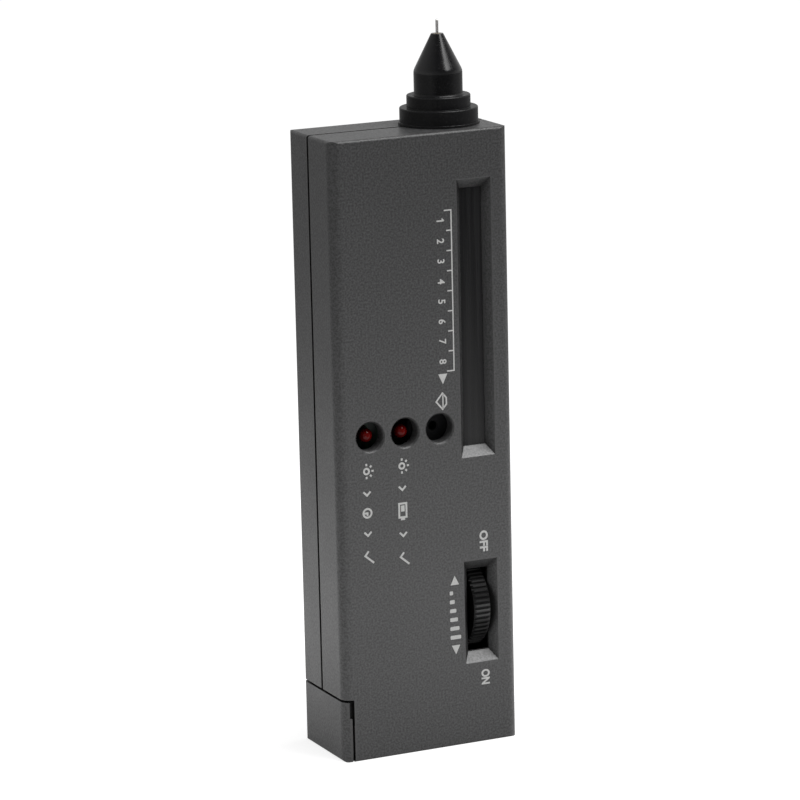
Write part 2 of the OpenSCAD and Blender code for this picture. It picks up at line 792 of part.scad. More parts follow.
// Room that the shells leave for the door, its plate, its runner and its lips
module door_room() {
    span([left - over, front - over, -over],
        [door_seam_x + door_seam_w / 2, back + over, door_h + door_seam_w / 2]);
    span([left, inner_front, -over], [plate_end, inner_back, wall + slide_gap]);
    span([left, inner_front - runner_reach - slide_gap, runner_z - slide_gap],
        [plate_end + runner_reach + slide_gap, inner_back + runner_reach + slide_gap,
            runner_z + runner_t + slide_gap]);
    edge = tongue_t + fit_gap;
    for (low = [inner_front - edge, inner_back - over])
        span([left, low, wall - over],
            [door_seam_x + lip_reach + fit_gap, low + edge + over, door_h + door_seam_w / 2]);
}

// Notch for a nail in the door's front edge, at the upper end of its seam
module nail_notch() {
    edge_x = door_seam_x - door_seam_w / 2;
    edge_z = door_h - door_seam_w / 2;
    span([edge_x - nail_w, front - over, edge_z - nail_h],
        [edge_x + over, front + nail_depth, edge_z + over]);
}

// Tongue of a shell that hangs behind the door's top edge
module door_catch(low_y, high_y) {
    span([left + tongue_edge, low_y, door_h - lip_reach], [inner_left, high_y, door_h + over]);
}

module front_shell() {
    color(case_grey) {
        difference() {
            union() {
                difference() {
                    intersection() {
                        case_block();
                        span([left - over, front - over, -over],
                            [right + over, seam_front, case_h + over]);
                    }
                    cavity();
                }
                window_frame();
                slot_frame();
                hole_collars();
                for (place = post_places) post(place, post_r, inner_front - root, board_front);
                for (place = screw_places)
                    post(place, boss_front_r, inner_front - root, seam_y - fit_gap / 2);
                span([partition_x, inner_front - root, partition_z],
                    [partition_x + partition_t, seam_y - fit_gap / 2, partition_top]);
                span([inner_left - root, inner_front - root, shelf_z],
                    [partition_x, inner_front + shelf_depth, shelf_z + shelf_t]);
            }
            tongue_ring(fit_gap, tongue_front - fit_gap, seam_front + over);
            window_cut();
            slot_cut();
            hole_cuts();
            for (place = post_places)
                post(place, board_screw_d / 2 + fit_gap / 2, board_front - post_hole, board_front + over);
            for (place = screw_places)
                post(place, screw_d / 2 + fit_gap / 2,
                    screw_seat_y - screw_len - screw_end_gap, seam_y + over);
            neck_hole();
            door_room();
        }
        door_catch(inner_front, tongue_front - 2 * fit_gap);
    }
}

module back_shell() {
    color(case_grey) {
        difference() {
            union() {
                difference() {
                    intersection() {
                        case_block();
                        span([left - over, seam_back, -over],
                            [right + over, back + over, case_h + over]);
                    }
                    cavity();
                }
                tongue_ring(0, tongue_front, seam_back + root);
                for (place = screw_places)
                    post(place, boss_back_r, seam_y + fit_gap / 2, inner_back + root);
                span([partition_x, seam_y + fit_gap / 2, partition_z],
                    [partition_x + partition_t, inner_back + root, partition_top]);
            }
            for (place = screw_places) {
                post(place, screw_d / 2 + screw_gap, seam_y - over, back + over);
                post(place, screw_head_d / 2 + 2 * screw_gap, screw_seat_y, back + over);
            }
            neck_hole();
            door_room();
        }
        door_catch(tongue_front, inner_back);
    }
}

module battery_door() {
    color(case_grey) difference() {
        union() {
            difference() {
                intersection() {
                    case_block();
                    span([left - over, front - over, -over],
                        [door_seam_x - door_seam_w / 2, back + over, door_h - door_seam_w / 2]);
                }
                cavity();
            }
            span([inner_left - root, inner_front + slide_gap, 0],
                [plate_end - slide_gap, inner_back - slide_gap, wall]);
            span([inner_left - root, inner_front - runner_reach, runner_z],
                [plate_end + runner_reach, inner_back + runner_reach, runner_z + runner_t]);
            for (low = [inner_front - tongue_t, inner_back])
                span([door_seam_x - door_seam_w / 2 - root, low, wall],
                    [door_seam_x + lip_reach, low + tongue_t, door_h - door_seam_w / 2]);
        }
        span([left + tongue_edge - fit_gap, inner_front - fit_gap, door_h - lip_reach - fit_gap],
            [inner_left + fit_gap, inner_back + fit_gap, door_h + over]);
        nail_notch();
    }
}

// Pan-head screw whose head stands on z = 0 and whose shank points down, with a cross recess
module pan_screw(d, len, head_d, head_h) {
    crown_d = head_d * 0.72;
    rim_h = head_h * 0.55;
    cross_w = head_d * 0.55;
    cross_t = head_d * 0.14;
    cross_z = head_h * 0.45;
    difference() {
        union() {
            rotate_extrude() polygon([
                [0, 0], [head_d / 2, 0], [head_d / 2, rim_h], [crown_d / 2, head_h], [0, head_h]
            ]);
            translate([0, 0, -len]) cylinder(h = len + cross_z / 2, d = d);
        }
        for (turn = [0, 90]) rotate([0, 0, turn])
            translate([-cross_w / 2, -cross_t / 2, cross_z]) cube([cross_w, cross_t, head_h]);
    }
}

module shell_screws() {
    color(tin) for (place = screw_places)
        translate([place[0], screw_seat_y, place[1]]) rotate([-90, 0, 0])
            pan_screw(screw_d, screw_len, screw_head_d, screw_head_h);
}

module display_window() {
    color([0.08, 0.08, 0.09]) panel(column_x, window_mid_z, lens_w, lens_h, lens_front, lens_back);
}

module bar_leds() {
    foot_w = bar_w + 2 * bar_flange;
    foot_h = bar_h + 2 * bar_flange;
    color([0.85, 0.3, 0.2]) for (i = [0:bar_count - 1]) {
        z = bar_z - i * bar_pitch;
        panel(column_x, z, bar_w, bar_h, bar_front, board_front);
        panel(column_x, z, foot_w, foot_h, board_front - bar_flange_t, board_front);
    }
}

// Round lamp on two legs, standing on z = 0
module lamp() {
    dome_r = lamp_d / 2;
    legs = board_front - lamp_front - lamp_len;
    for (x = [-lamp_leg_pitch / 2, lamp_leg_pitch / 2])
        translate([x - lamp_leg_t / 2, -lamp_leg_t / 2, 0])
            cube([lamp_leg_t, lamp_leg_t, legs + lamp_flange_t / 2]);
    translate([0, 0, legs]) {
        cylinder(h = lamp_flange_t, r = dome_r + lamp_flange);
        cylinder(h = lamp_len - dome_r, r = dome_r);
        translate([0, 0, lamp_len - dome_r]) sphere(dome_r);
    }
}

module ready_led() {
    color([0.75, 0.06, 0.05]) on_board_front(ready_lamp_x, hole_z) lamp();
}

module battery_led() {
    color([0.75, 0.06, 0.05]) on_board_front(battery_lamp_x, hole_z) lamp();
}

module buzzer() {
    r = buzzer_d / 2;
    edge_r = r - buzzer_bevel;
    color(chip_black) on_board_front(sound_x, hole_z) difference() {
        rotate_extrude() polygon([
            [0, 0], [edge_r, 0], [edge_r, buzzer_foot], [r, buzzer_foot + buzzer_bevel],
            [r, buzzer_h - buzzer_bevel], [edge_r, buzzer_h], [0, buzzer_h]
        ]);
        translate([0, 0, buzzer_h / 2]) cylinder(h = buzzer_h, d = port_d);
    }
}

// Main panel with one leg that runs down beside the wheel to the control's pins
module circuit_board() {
    hole_r = board_screw_d / 2 + board_hole_gap;
    color(pcb_green) difference() {
        union() {
            span([board_left, board_front, board_z], [board_right, board_back, board_top]);
            span([leg_left, board_front, leg_z], [board_right, board_back, board_z + root]);
        }
        for (place = post_places) post(place, hole_r, board_front - over, board_back + over);
    }
}

module board_screws() {
    color(tin) for (place = post_places) on_board_back(place[0], place[1])
        pan_screw(board_screw_d, board_t + board_screw_grip, board_screw_head_d, board_screw_head_h);
}

// Dual in-line chip standing on z = 0, its length along y
module chip(leg_count) {
    rows = leg_count / 2;
    body = rows * leg_pitch - chip_short;
    leg_top = chip_lift + chip_h / 2;
    translate([0, 0, chip_lift]) difference() {
        translate([-chip_w / 2, -body / 2, 0]) cube([chip_w, body, chip_h]);
        translate([0, body / 2, chip_h / 2]) cylinder(h = chip_h, r = chip_notch_r);
    }
    for (turn = [0, 180], i = [0:rows - 1]) rotate([0, 0, turn])
        translate([chip_w / 2, (i - (rows - 1) / 2) * leg_pitch, 0]) {
            translate([leg_splay - leg_t / 2, -leg_w / 2, 0]) cube([leg_t, leg_w, leg_top]);
            translate([-leg_t, -leg_w, leg_top - leg_t])
                cube([leg_splay + 1.5 * leg_t, 2 * leg_w, leg_t]);
        }
}

module bar_driver_chip() {
    color(chip_black) on_board_back(chip_x, driver_z) chip(driver_leg_count);
}

module amplifier_chip() {
    color(chip_black) on_board_back(chip_x, amplifier_z) chip(amplifier_leg_count);
}

// Can capacitors with a rolled groove near their feet
module capacitors() {
    r = cap_d / 2;
    in_r = r - cap_bevel;
    color([0.12, 0.16, 0.3]) for (place = cap_places) on_board_back(place[0], place[1])
        rotate_extrude() polygon([
            [0, 0], [in_r, 0], [r, cap_bevel], [r, cap_groove_z - cap_bevel], [in_r, cap_groove_z],
            [r, cap_groove_z + cap_bevel], [r, cap_h - cap_bevel], [in_r, cap_h], [0, cap_h]
        ]);
}

// Resistors lie along x on two bent wires
module resistors() {
    r = resistor_d / 2;
    in_r = r - resistor_bevel;
    waist_r = resistor_waist_d / 2;
    waist_low = resistor_end + resistor_bevel;
    reach = resistor_len / 2 + resistor_wire_out;
    wire_r = resistor_wire_d / 2;
    color([0.8, 0.68, 0.5]) for (place = resistor_places) on_board_back(place[0], place[1]) {
        translate([-resistor_len / 2, 0, r]) rotate([0, 90, 0]) rotate_extrude() polygon([
            [0, 0], [in_r, 0], [r, resistor_bevel], [r, resistor_end], [waist_r, waist_low],
            [waist_r, resistor_len - waist_low], [r, resistor_len - resistor_end],
            [r, resistor_len - resistor_bevel], [in_r, resistor_len], [0, resistor_len]
        ]);
        translate([-reach, 0, r]) rotate([0, 90, 0]) cylinder(h = 2 * reach, r = wire_r);
        for (side = [-1, 1]) translate([side * reach, 0, 0]) {
            cylinder(h = r, r = wire_r);
            translate([0, 0, r]) sphere(wire_r);
        }
    }
}

module calibration_trimmer() {
    color([0.2, 0.35, 0.7]) on_board_back(trimmer_x, trimmer_z) difference() {
        union() {
            translate([-trimmer_w / 2, -trimmer_w / 2, 0]) cube([trimmer_w, trimmer_w, trimmer_h]);
            translate([0, 0, trimmer_h - root]) cylinder(h = trimmer_dial_h + root, d = trimmer_dial_d);
        }
        translate([-trimmer_dial_d / 2, -trimmer_slot_w / 2, trimmer_h])
            cube([trimmer_dial_d, trimmer_slot_w, trimmer_dial_h + over]);
    }
}

// Can with a blind bore for the spindle and three flat pins up to the board's leg
module volume_pot() {
    color([0.2, 0.2, 0.22]) {
        on_wheel_axis(pot_x) difference() {
            rotate_extrude() polygon([
                [0, 0], [hub_r, 0], [hub_r, pot_step], [pot_d / 2 - pot_step, pot_step],
                [pot_d / 2, 2 * pot_step], [pot_d / 2, pot_t], [0, pot_t]
            ]);
            translate([0, 0, -over]) cylinder(h = pot_t - pot_floor + over, r = spindle_r + run_gap);
        }
        for (i = [-1, 0, 1]) {
            x = pot_x + pot_t / 2 + i * pin_pitch;
            span([x - pin_w / 2, board_back, wheel_z + hub_r],
                [x + pin_w / 2, board_back + pin_t, leg_z + pin_lap]);
        }
    }
}

// Spindle section with a flat, grown by a gap
module spindle_outline(gap) {
    r = spindle_r + gap;
    difference() {
        circle(r);
        translate([-r, spindle_r - spindle_flat + gap]) square([2 * r, r]);
    }
}

module pot_spindle() {
    start = wheel_x + wheel_screw_seat;
    end = pot_x + pot_t - pot_floor - spindle_end_gap;
    color([0.85, 0.85, 0.8]) difference() {
        union() {
            on_wheel_axis(start) linear_extrude(pot_x - start) spindle_outline(0);
            on_wheel_axis(pot_x - fit_gap) cylinder(h = end - pot_x + fit_gap, r = spindle_r);
        }
        on_wheel_axis(start - over)
            cylinder(h = wheel_screw_len + screw_end_gap + over, d = wheel_screw_d + fit_gap);
    }
}

// Ribbed outline of the wheel, worked out rib by rib; land and foot are half widths of a rib,
// as shares of the rib spacing
module rib_outline() {
    step = 360 / rib_count;
    low = wheel_r - rib_depth;
    land = 0.14;
    foot = 0.36;
    polygon([
        for (i = [0:rib_count - 1],
            corner = [[low, -foot], [wheel_r, -land], [wheel_r, land], [low, foot]])
                corner[0] * [cos((i + corner[1]) * step), sin((i + corner[1]) * step)]
    ]);
}

module thumbwheel() {
    rim_in = wheel_r - rim_t;
    web_low = (wheel_w - web_t) / 2;
    web_high = web_low + web_t;
    color(chip_black) on_wheel_axis(wheel_x) difference() {
        intersection() {
            linear_extrude(wheel_w) rotate([0, 0, -90]) rib_outline();
            rotate_extrude() polygon([
                [0, 0], [hub_r, 0], [hub_r, web_low], [rim_in, web_low], [rim_in, 0],
                [wheel_r - rim_bevel, 0], [wheel_r, rim_bevel], [wheel_r, wheel_w - rim_bevel],
                [wheel_r - rim_bevel, wheel_w], [rim_in, wheel_w], [rim_in, web_high],
                [hub_r, web_high], [hub_r, wheel_w], [0, wheel_w]
            ]);
        }
        translate([0, 0, wheel_screw_seat]) linear_extrude(wheel_w) spindle_outline(press_gap);
        translate([0, 0, -over]) cylinder(h = wheel_screw_seat + over, d = wheel_screw_head_d + 2 * fit_gap);
    }
}

module wheel_screw() {
    color(tin) on_wheel_axis(wheel_x + wheel_screw_seat) rotate([180, 0, 0])
        pan_screw(wheel_screw_d, wheel_screw_len, wheel_screw_head_d, wheel_screw_head_h);
}

// Block battery with a crimped cap, a round stud and a six-sided socket stud
module battery() {
    low_y = inner_front + bay_face_gap;
    cap_in = 2 * battery_cap_inset;
    color([0.2, 0.2, 0.23]) translate([battery_mid_x, 0, battery_z]) {
        linear_extrude(battery_h - battery_cap_t) translate([0, low_y])
            soft_rect(battery_w, battery_d, battery_edge_r, battery_edge_r);
        linear_extrude(battery_h) translate([0, low_y + battery_cap_inset])
            soft_rect(battery_w - cap_in, battery_d - cap_in, battery_edge_r, battery_edge_r);
        translate([-stud_pitch / 2, 0, battery_h - root]) cylinder(h = stud_h + root, d = stud_d);
        translate([stud_pitch / 2, 0, battery_h - root])
            cylinder(h = stud_h + root, d = socket_d, $fn = 6);
    }
}

// Moulded snap that sits over both studs
module battery_snap() {
    pocket_d = max(stud_d, socket_d) + 2 * stud_gap;
    color(chip_black) translate([battery_mid_x, 0, snap_z]) difference() {
        translate([0, -snap_d / 2, 0]) linear_extrude(snap_h)
            soft_rect(snap_w, snap_d, snap_edge_r, snap_edge_r);
        for (x = [-stud_pitch / 2, stud_pitch / 2]) translate([x, 0, -over])
            cylinder(h = stud_h + bay_end_gap + over, d = pocket_d);
    }
}

// Unit vector
function unit(v) = v / norm(v);
// Smooth point between points b and c of a route, at share t
function glide(a, b, c, d, t) = 0.5 * (2 * b + (c - a) * t + (2 * a - 5 * b + 4 * c - d) * t * t
    + (3 * b - a - 3 * c + d) * t * t * t);
// Route smoothed to a number of steps between its points
function smooth_route(p, steps) = [
    for (i = [0:len(p) - 2], s = [0:steps - 1])
        glide(p[max(i - 1, 0)], p[i], p[i + 1], p[min(i + 2, len(p) - 1)], s / steps),
    p[len(p) - 1]
];
// Direction of a route at one of its points
function heading(p, i) = unit(p[min(i + 1, len(p) - 1)] - p[max(i - 1, 0)]);

// Closed tube along points, each with the direction in which its ring starts
module tube(points, starts, r, sides) {
    last = len(points) - 1;
    rings = [
        for (i = [0:last], j = [0:sides - 1])
            let (side = unit(cross(heading(points, i), starts[i])), up = cross(side, heading(points, i)))
                points[i] + r * (cos(j * 360 / sides) * up + sin(j * 360 / sides) * side)
    ];
    walls = [
        for (i = [0:last - 1], j = [0:sides - 1], half = [0, 1])
            let (k = (j + 1) % sides, a = i * sides, b = a + sides)
                half == 0 ? [a + j, a + k, b + k] : [a + j, b + k, b + j]
    ];
    ends = [
        for (j = [1:sides - 2]) [0, j + 1, j],
        for (j = [1:sides - 2]) [last * sides, last * sides + j, last * sides + j + 1]
    ];
    polyhedron(rings, concat(walls, ends));
}

module lead(start, route, d) {
    points = [for (p = smooth_route(route, lead_steps)) start + p];
    tube(points, [for (p = points) [1, 0, 0]], d / 2, lead_sides);
}

module battery_lead_positive() {
    color([0.7, 0.08, 0.06]) lead([positive_x, lead_back, snap_top], lead_rise, lead_d);
}

module battery_lead_negative() {
    color(chip_black) lead([negative_x, lead_back, snap_top], lead_rise, lead_d);
}

// Stepped flange, neck and inner flange turned as one, with a through bore for the nose's tail
module probe_collar() {
    color(probe_black) on_probe_axis() rotate_extrude() polygon(concat(
        [
            [tail_d / 2 + press_gap, collar_low], [inner_flange_d / 2, collar_low],
            [inner_flange_d / 2, neck_low], [neck_d / 2, neck_low], [neck_d / 2, flange_z],
            [flange_d / 2 + rim_w, flange_z], [flange_d / 2 + rim_w, flange_z + rim_h],
            [flange_d / 2, flange_z + rim_h]
        ],
        [for (a = [0:15:90]) [flange_d / 2 - ring_r * (1 - cos(a)), step_z - ring_r * (1 - sin(a))]],
        [[step_d / 2, step_z]],
        [for (a = [0:15:90]) [step_d / 2 - ring_r * (1 - cos(a)), nose_z - ring_r * (1 - sin(a))]],
        [[tail_d / 2 + press_gap, nose_z]]
    ));
}

// Nose with its tail in the collar, a hollow foot, a soft shoulder under the cone, and bores
// for the slug and, at the tip, for the guide
module probe_nose() {
    r = nose_d / 2;
    slope = atan2(r - tip_d / 2, cone_h);
    shoulder_z = cone_z - shoulder_r * tan(slope / 2);
    color(probe_black) on_probe_axis() rotate_extrude() polygon(concat(
        [[slug_bore_d / 2, collar_low], [tail_d / 2, collar_low], [tail_d / 2, nose_z]],
        [for (a = [0:18:90]) [r + foot_r * (1 - sin(a)), nose_z + foot_r * (1 - cos(a))]],
        [
            for (i = [0:5]) let (a = slope * i / 5)
                [r - shoulder_r * (1 - cos(a)), shoulder_z + shoulder_r * sin(a)]
        ],
        [
            [tip_d / 2, tip_z], [bush_d / 2, tip_z], [bush_d / 2, bush_z],
            [slug_bore_d / 2, bush_z]
        ]
    ));
}

module needle_bush() {
    color(brass) on_probe_axis() translate([0, 0, bush_z]) difference() {
        cylinder(h = bush_len, d = bush_d - 2 * press_gap);
        translate([0, 0, -over]) cylinder(h = bush_len + 2 * over, d = needle_d + 2 * needle_gap);
    }
}

// Needle with a round point, its copper slug and the tail that carries the heater
module probe_needle() {
    r = needle_d / 2;
    slug_r = slug_bore_d / 2 - run_gap;
    color(copper) on_probe_axis() {
        translate([0, 0, slug_top - root]) cylinder(h = needle_top - r - slug_top + root, r = r);
        translate([0, 0, needle_top - r]) sphere(r);
        rotate_extrude() polygon([
            [0, slug_z], [slug_r, slug_z], [slug_r, slug_top - slug_bevel], [slug_r - slug_bevel, slug_top],
            [0, slug_top]
        ]);
        translate([0, 0, tail_end_z]) cylinder(h = slug_z - tail_end_z + root, d = needle_tail_d);
    }
}

module probe_heater() {
    color([0.9, 0.88, 0.82]) on_probe_axis() translate([0, 0, slug_z - heater_len]) difference() {
        cylinder(h = heater_len, d = heater_d);
        translate([0, 0, -over])
            cylinder(h = heater_len + 2 * over, d = needle_tail_d + 2 * heater_gap);
    }
}

// Round-wire compression spring between the terminal and the slug
module needle_spring() {
    steps = turn_points * spring_turns;
    rise = spring_len - wire_d;
    points = [
        for (i = [0:steps]) let (a = 360 * spring_turns * i / steps)
            [spring_d / 2 * cos(a), spring_d / 2 * sin(a), spring_z + wire_d / 2 + rise * i / steps]
    ];
    color(tin) on_probe_axis() tube(points, [for (p = points) [p[0], p[1], 0]], wire_d / 2, wire_sides);
}

module probe_terminal() {
    r = slug_bore_d / 2 - press_gap;
    low_r = r - terminal_step;
    step_top = terminal_z + terminal_step;
    color(brass) on_probe_axis() rotate_extrude() polygon([
        [0, terminal_z], [low_r, terminal_z], [low_r, step_top], [r, step_top], [r, spring_z],
        [0, spring_z]
    ]);
}

module probe_leads() {
    color([0.7, 0.7, 0.68]) for (side = [-0.5, 0.5])
        lead([probe_x + side * fine_lead_pitch, probe_y, terminal_z], probe_lead_drop, fine_lead_d);
}

front_shell();
back_shell();
battery_door();
shell_screws();
display_window();
bar_leds();
ready_led();
battery_led();
buzzer();
circuit_board();
board_screws();
bar_driver_chip();
amplifier_chip();
capacitors();
resistors();
calibration_trimmer();
volume_pot();
pot_spindle();
thumbwheel();
wheel_screw();
battery();
battery_snap();
battery_lead_positive();
battery_lead_negative();
probe_collar();
probe_nose();
needle_bush();
probe_needle();
probe_heater();
needle_spring();
probe_terminal();
probe_leads();
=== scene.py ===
import json
import math
import bpy
from mathutils import Matrix, Vector

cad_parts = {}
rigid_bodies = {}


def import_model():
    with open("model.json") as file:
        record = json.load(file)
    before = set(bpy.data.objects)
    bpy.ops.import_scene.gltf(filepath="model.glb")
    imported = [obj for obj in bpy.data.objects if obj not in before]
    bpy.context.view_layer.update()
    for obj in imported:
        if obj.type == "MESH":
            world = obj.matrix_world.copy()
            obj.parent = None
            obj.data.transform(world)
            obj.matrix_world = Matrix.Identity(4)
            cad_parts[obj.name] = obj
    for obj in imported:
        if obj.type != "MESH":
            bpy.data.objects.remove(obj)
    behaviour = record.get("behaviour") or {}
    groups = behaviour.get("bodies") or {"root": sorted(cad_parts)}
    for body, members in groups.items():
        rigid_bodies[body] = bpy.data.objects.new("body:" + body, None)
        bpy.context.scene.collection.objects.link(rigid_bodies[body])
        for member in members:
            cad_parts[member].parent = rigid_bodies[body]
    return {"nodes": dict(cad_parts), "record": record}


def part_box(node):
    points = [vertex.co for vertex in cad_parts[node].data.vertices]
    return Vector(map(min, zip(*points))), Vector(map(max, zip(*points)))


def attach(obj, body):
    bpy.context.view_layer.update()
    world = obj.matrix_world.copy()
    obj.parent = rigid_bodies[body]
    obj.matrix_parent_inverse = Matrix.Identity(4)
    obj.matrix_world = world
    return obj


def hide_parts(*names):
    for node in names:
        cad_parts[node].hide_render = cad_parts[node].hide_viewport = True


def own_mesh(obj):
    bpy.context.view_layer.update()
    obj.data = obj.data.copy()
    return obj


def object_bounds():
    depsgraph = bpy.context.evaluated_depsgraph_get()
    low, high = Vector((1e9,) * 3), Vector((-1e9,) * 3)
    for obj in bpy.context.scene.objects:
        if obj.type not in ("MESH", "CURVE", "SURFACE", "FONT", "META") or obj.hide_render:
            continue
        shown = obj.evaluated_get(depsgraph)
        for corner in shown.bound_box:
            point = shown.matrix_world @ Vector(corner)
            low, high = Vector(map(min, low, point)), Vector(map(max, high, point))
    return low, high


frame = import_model()
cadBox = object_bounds()
nodes = frame["nodes"]
mm = 0.001
print("frame loaded:", len(nodes), "nodes")


# Shader maths: a wrapped socket takes part in plain expressions
class Wire:
    def __init__(self, tree, socket):
        self.tree = tree
        self.socket = socket

    def math(self, operation, first, second=0.0):
        made = self.tree.nodes.new("ShaderNodeMath")
        made.operation = operation
        for slot, value in zip(made.inputs, (first, second)):
            if isinstance(value, Wire):
                self.tree.links.new(value.socket, slot)
            else:
                slot.default_value = value
        return Wire(self.tree, made.outputs[0])

    def __add__(self, other):
        return self.math("ADD", self, other)

    def __sub__(self, other):
        return self.math("SUBTRACT", self, other)

    def __rsub__(self, other):
        return self.math("SUBTRACT", other, self)

    def __mul__(self, other):
        return self.math("MULTIPLY", self, other)

    def __truediv__(self, other):
        return self.math("DIVIDE", self, other)

    def __pow__(self, other):
        return self.math("POWER", self, other)

    def __lt__(self, other):
        return self.math("LESS_THAN", self, other)

    def __gt__(self, other):
        return self.math("GREATER_THAN", self, other)

    def __abs__(self):
        return self.math("ABSOLUTE", self)

    __radd__ = __add__
    __rmul__ = __mul__

    def most(self, other):
        return self.math("MAXIMUM", self, other)

    def least(self, other):
        return self.math("MINIMUM", self, other)


# Makes and links the nodes of one tree
class Bench:
    def __init__(self, tree):
        self.tree = tree

    def feed(self, slot, value):
        if isinstance(value, Wire):
            self.tree.links.new(value.socket, slot)
        else:
            slot.default_value = value

    def node(self, kind, settings=None, sockets=None, out=0):
        made = self.tree.nodes.new("ShaderNode" + kind)
        for key, value in (settings or {}).items():
            setattr(made, key, value)
        for key, value in (sockets or {}).items():
            self.feed(made.inputs[key], value)
        return Wire(self.tree, made.outputs[out])

    # low at first, high at second, straight between and flat beyond
    def ramp(self, value, first, second, low=0.0, high=1.0):
        return self.node("MapRange", sockets={"Value": value, "From Min": first, "From Max": second,
                                              "To Min": low, "To Max": high})

    def axis(self, vector, name):
        return self.node("SeparateXYZ", sockets={"Vector": vector}, out=name)


# One finish: a material, its shader and the nodes that feed it
class Finish(Bench):
    def __init__(self, name):
        self.material = bpy.data.materials.new(name)
        self.material.use_nodes = True
        super().__init__(self.material.node_tree)
        self.shader = self.tree.nodes["Principled BSDF"]
        self.place = self.node("TexCoord", out="Object")
        self.x, self.y, self.z = (self.axis(self.place, name) for name in "XYZ")

    # size is the size of the grain in mm, stretch makes it longer along an axis
    def noise(self, size, detail=2.0, stretch=(1, 1, 1)):
        scale = tuple(1 / (size * mm * s) for s in stretch)
        spot = self.node("Mapping", sockets={"Vector": self.place, "Scale": scale})
        return self.node("TexNoise", sockets={"Vector": spot, "Scale": 1.0, "Detail": detail})

    def blend(self, share, first, second):
        return self.node("Mix", {"data_type": "RGBA"},
                         {0: share, 6: (*first, 1) if isinstance(first, tuple) else first,
                          7: (*second, 1) if isinstance(second, tuple) else second}, out=2)

    # 0 in the open, up to 1 in a crevice narrower than reach mm, or on an edge thinner than that
    def crevice(self, reach, inside=False):
        return 1 - self.node("AmbientOcclusion", {"samples": 8, "inside": inside},
                             {"Distance": reach * mm}, out="AO")

    # distance from the nearest of some nodes' axes, which run along y
    def fromAxes(self, names):
        nearest = None
        for name in names:
            low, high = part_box(name)
            across = self.x - (low.x + high.x) / 2
            along = self.z - (low.z + high.z) / 2
            away = (across * across + along * along) ** 0.5
            nearest = away.least(nearest) if nearest else away
        return nearest

    # normal with edges rounded off by a radius in mm
    def softEdge(self, radius):
        return self.node("Bevel", {"samples": 6}, {"Radius": radius * mm})

    # depth in mm
    def bump(self, height, depth, strength=1.0, normal=None):
        sockets = {"Height": height, "Distance": depth * mm, "Strength": strength}
        if normal:
            sockets["Normal"] = normal
        return self.node("Bump", sockets=sockets)

    def set(self, **values):
        names = {"colour": "Base Color", "rough": "Roughness", "metal": "Metallic", "normal": "Normal",
                 "specular": "Specular IOR Level"}
        for key, value in values.items():
            self.feed(self.shader.inputs[names[key]], value)
        return self.material

    # the finish's own shader, to be mixed with another
    def own(self):
        return Wire(self.tree, self.shader.outputs[0])

    # puts a mix of shaders on the surface
    def show(self, kind, *values):
        both = self.node(kind, sockets=dict(enumerate(values)))
        self.tree.links.new(both.socket, self.tree.nodes["Material Output"].inputs["Surface"])
        return self.material

    # mixes in a shader of the same colour with little gloss
    def dulled(self, share, look, colour, normal=None):
        sockets = {"Base Color": colour, "Roughness": look["dullRough"],
                   "Specular IOR Level": look["dullSpecular"]}
        if normal:
            sockets["Normal"] = normal
        return self.show("MixShader", share, self.own(), self.node("BsdfPrincipled", sockets=sockets))


# Case paint: fine speckled matte grey, lighter along its edges as rubbed wear and a painted highlight, with
# painted shade in seams and recesses that darkens the colour and dulls the gloss; the gloss is also dulled
# as painted shade in the holes and along the top edge of the front; painted light makes the walls deep in
# the holes lighter; slopes that face up get no painted shade
paintLook = {
    "base": (0.0175, 0.0175, 0.018), "fleck": (0.06, 0.06, 0.061), "rubbed": (0.06, 0.06, 0.06),
    "shadeColour": (0.004, 0.004, 0.004), "holeWallLight": (0.11, 0.11, 0.111),
    "rough": 0.38, "roughSwing": 0.1, "specular": 0.62, "dullRough": 0.7, "dullSpecular": 0.1,
    "fleckSize": 0.42, "fleckSpan": (0.32, 0.68), "cloudSize": 14.0, "grain": 0.06, "grainStrength": 0.6,
    "edgeRadius": 0.16, "edgeReach": 0.5, "edgeSpan": (0.03, 0.12),
    "rubSize": 1.7, "rubLeast": 0.35, "rubSwing": 0.5,
    "gapReach": 1.2, "gapSpan": (0.5, 0.9),
    "recessReach": 5.0, "recessSpan": (0.08, 0.35), "recessShade": 0.88, "upSpan": (0.1, 0.5),
    "footHeight": 8.0, "browWidth": 0.6, "browDull": 0.55,
    "holes": ("ready_led", "battery_led", "buzzer"), "holeRadius": 3.1, "holeRim": 0.4, "holeDepth": 0.6,
    "holeShade": 0.2, "holeWallLightShare": 0.3, "holeDull": 0.6,
}


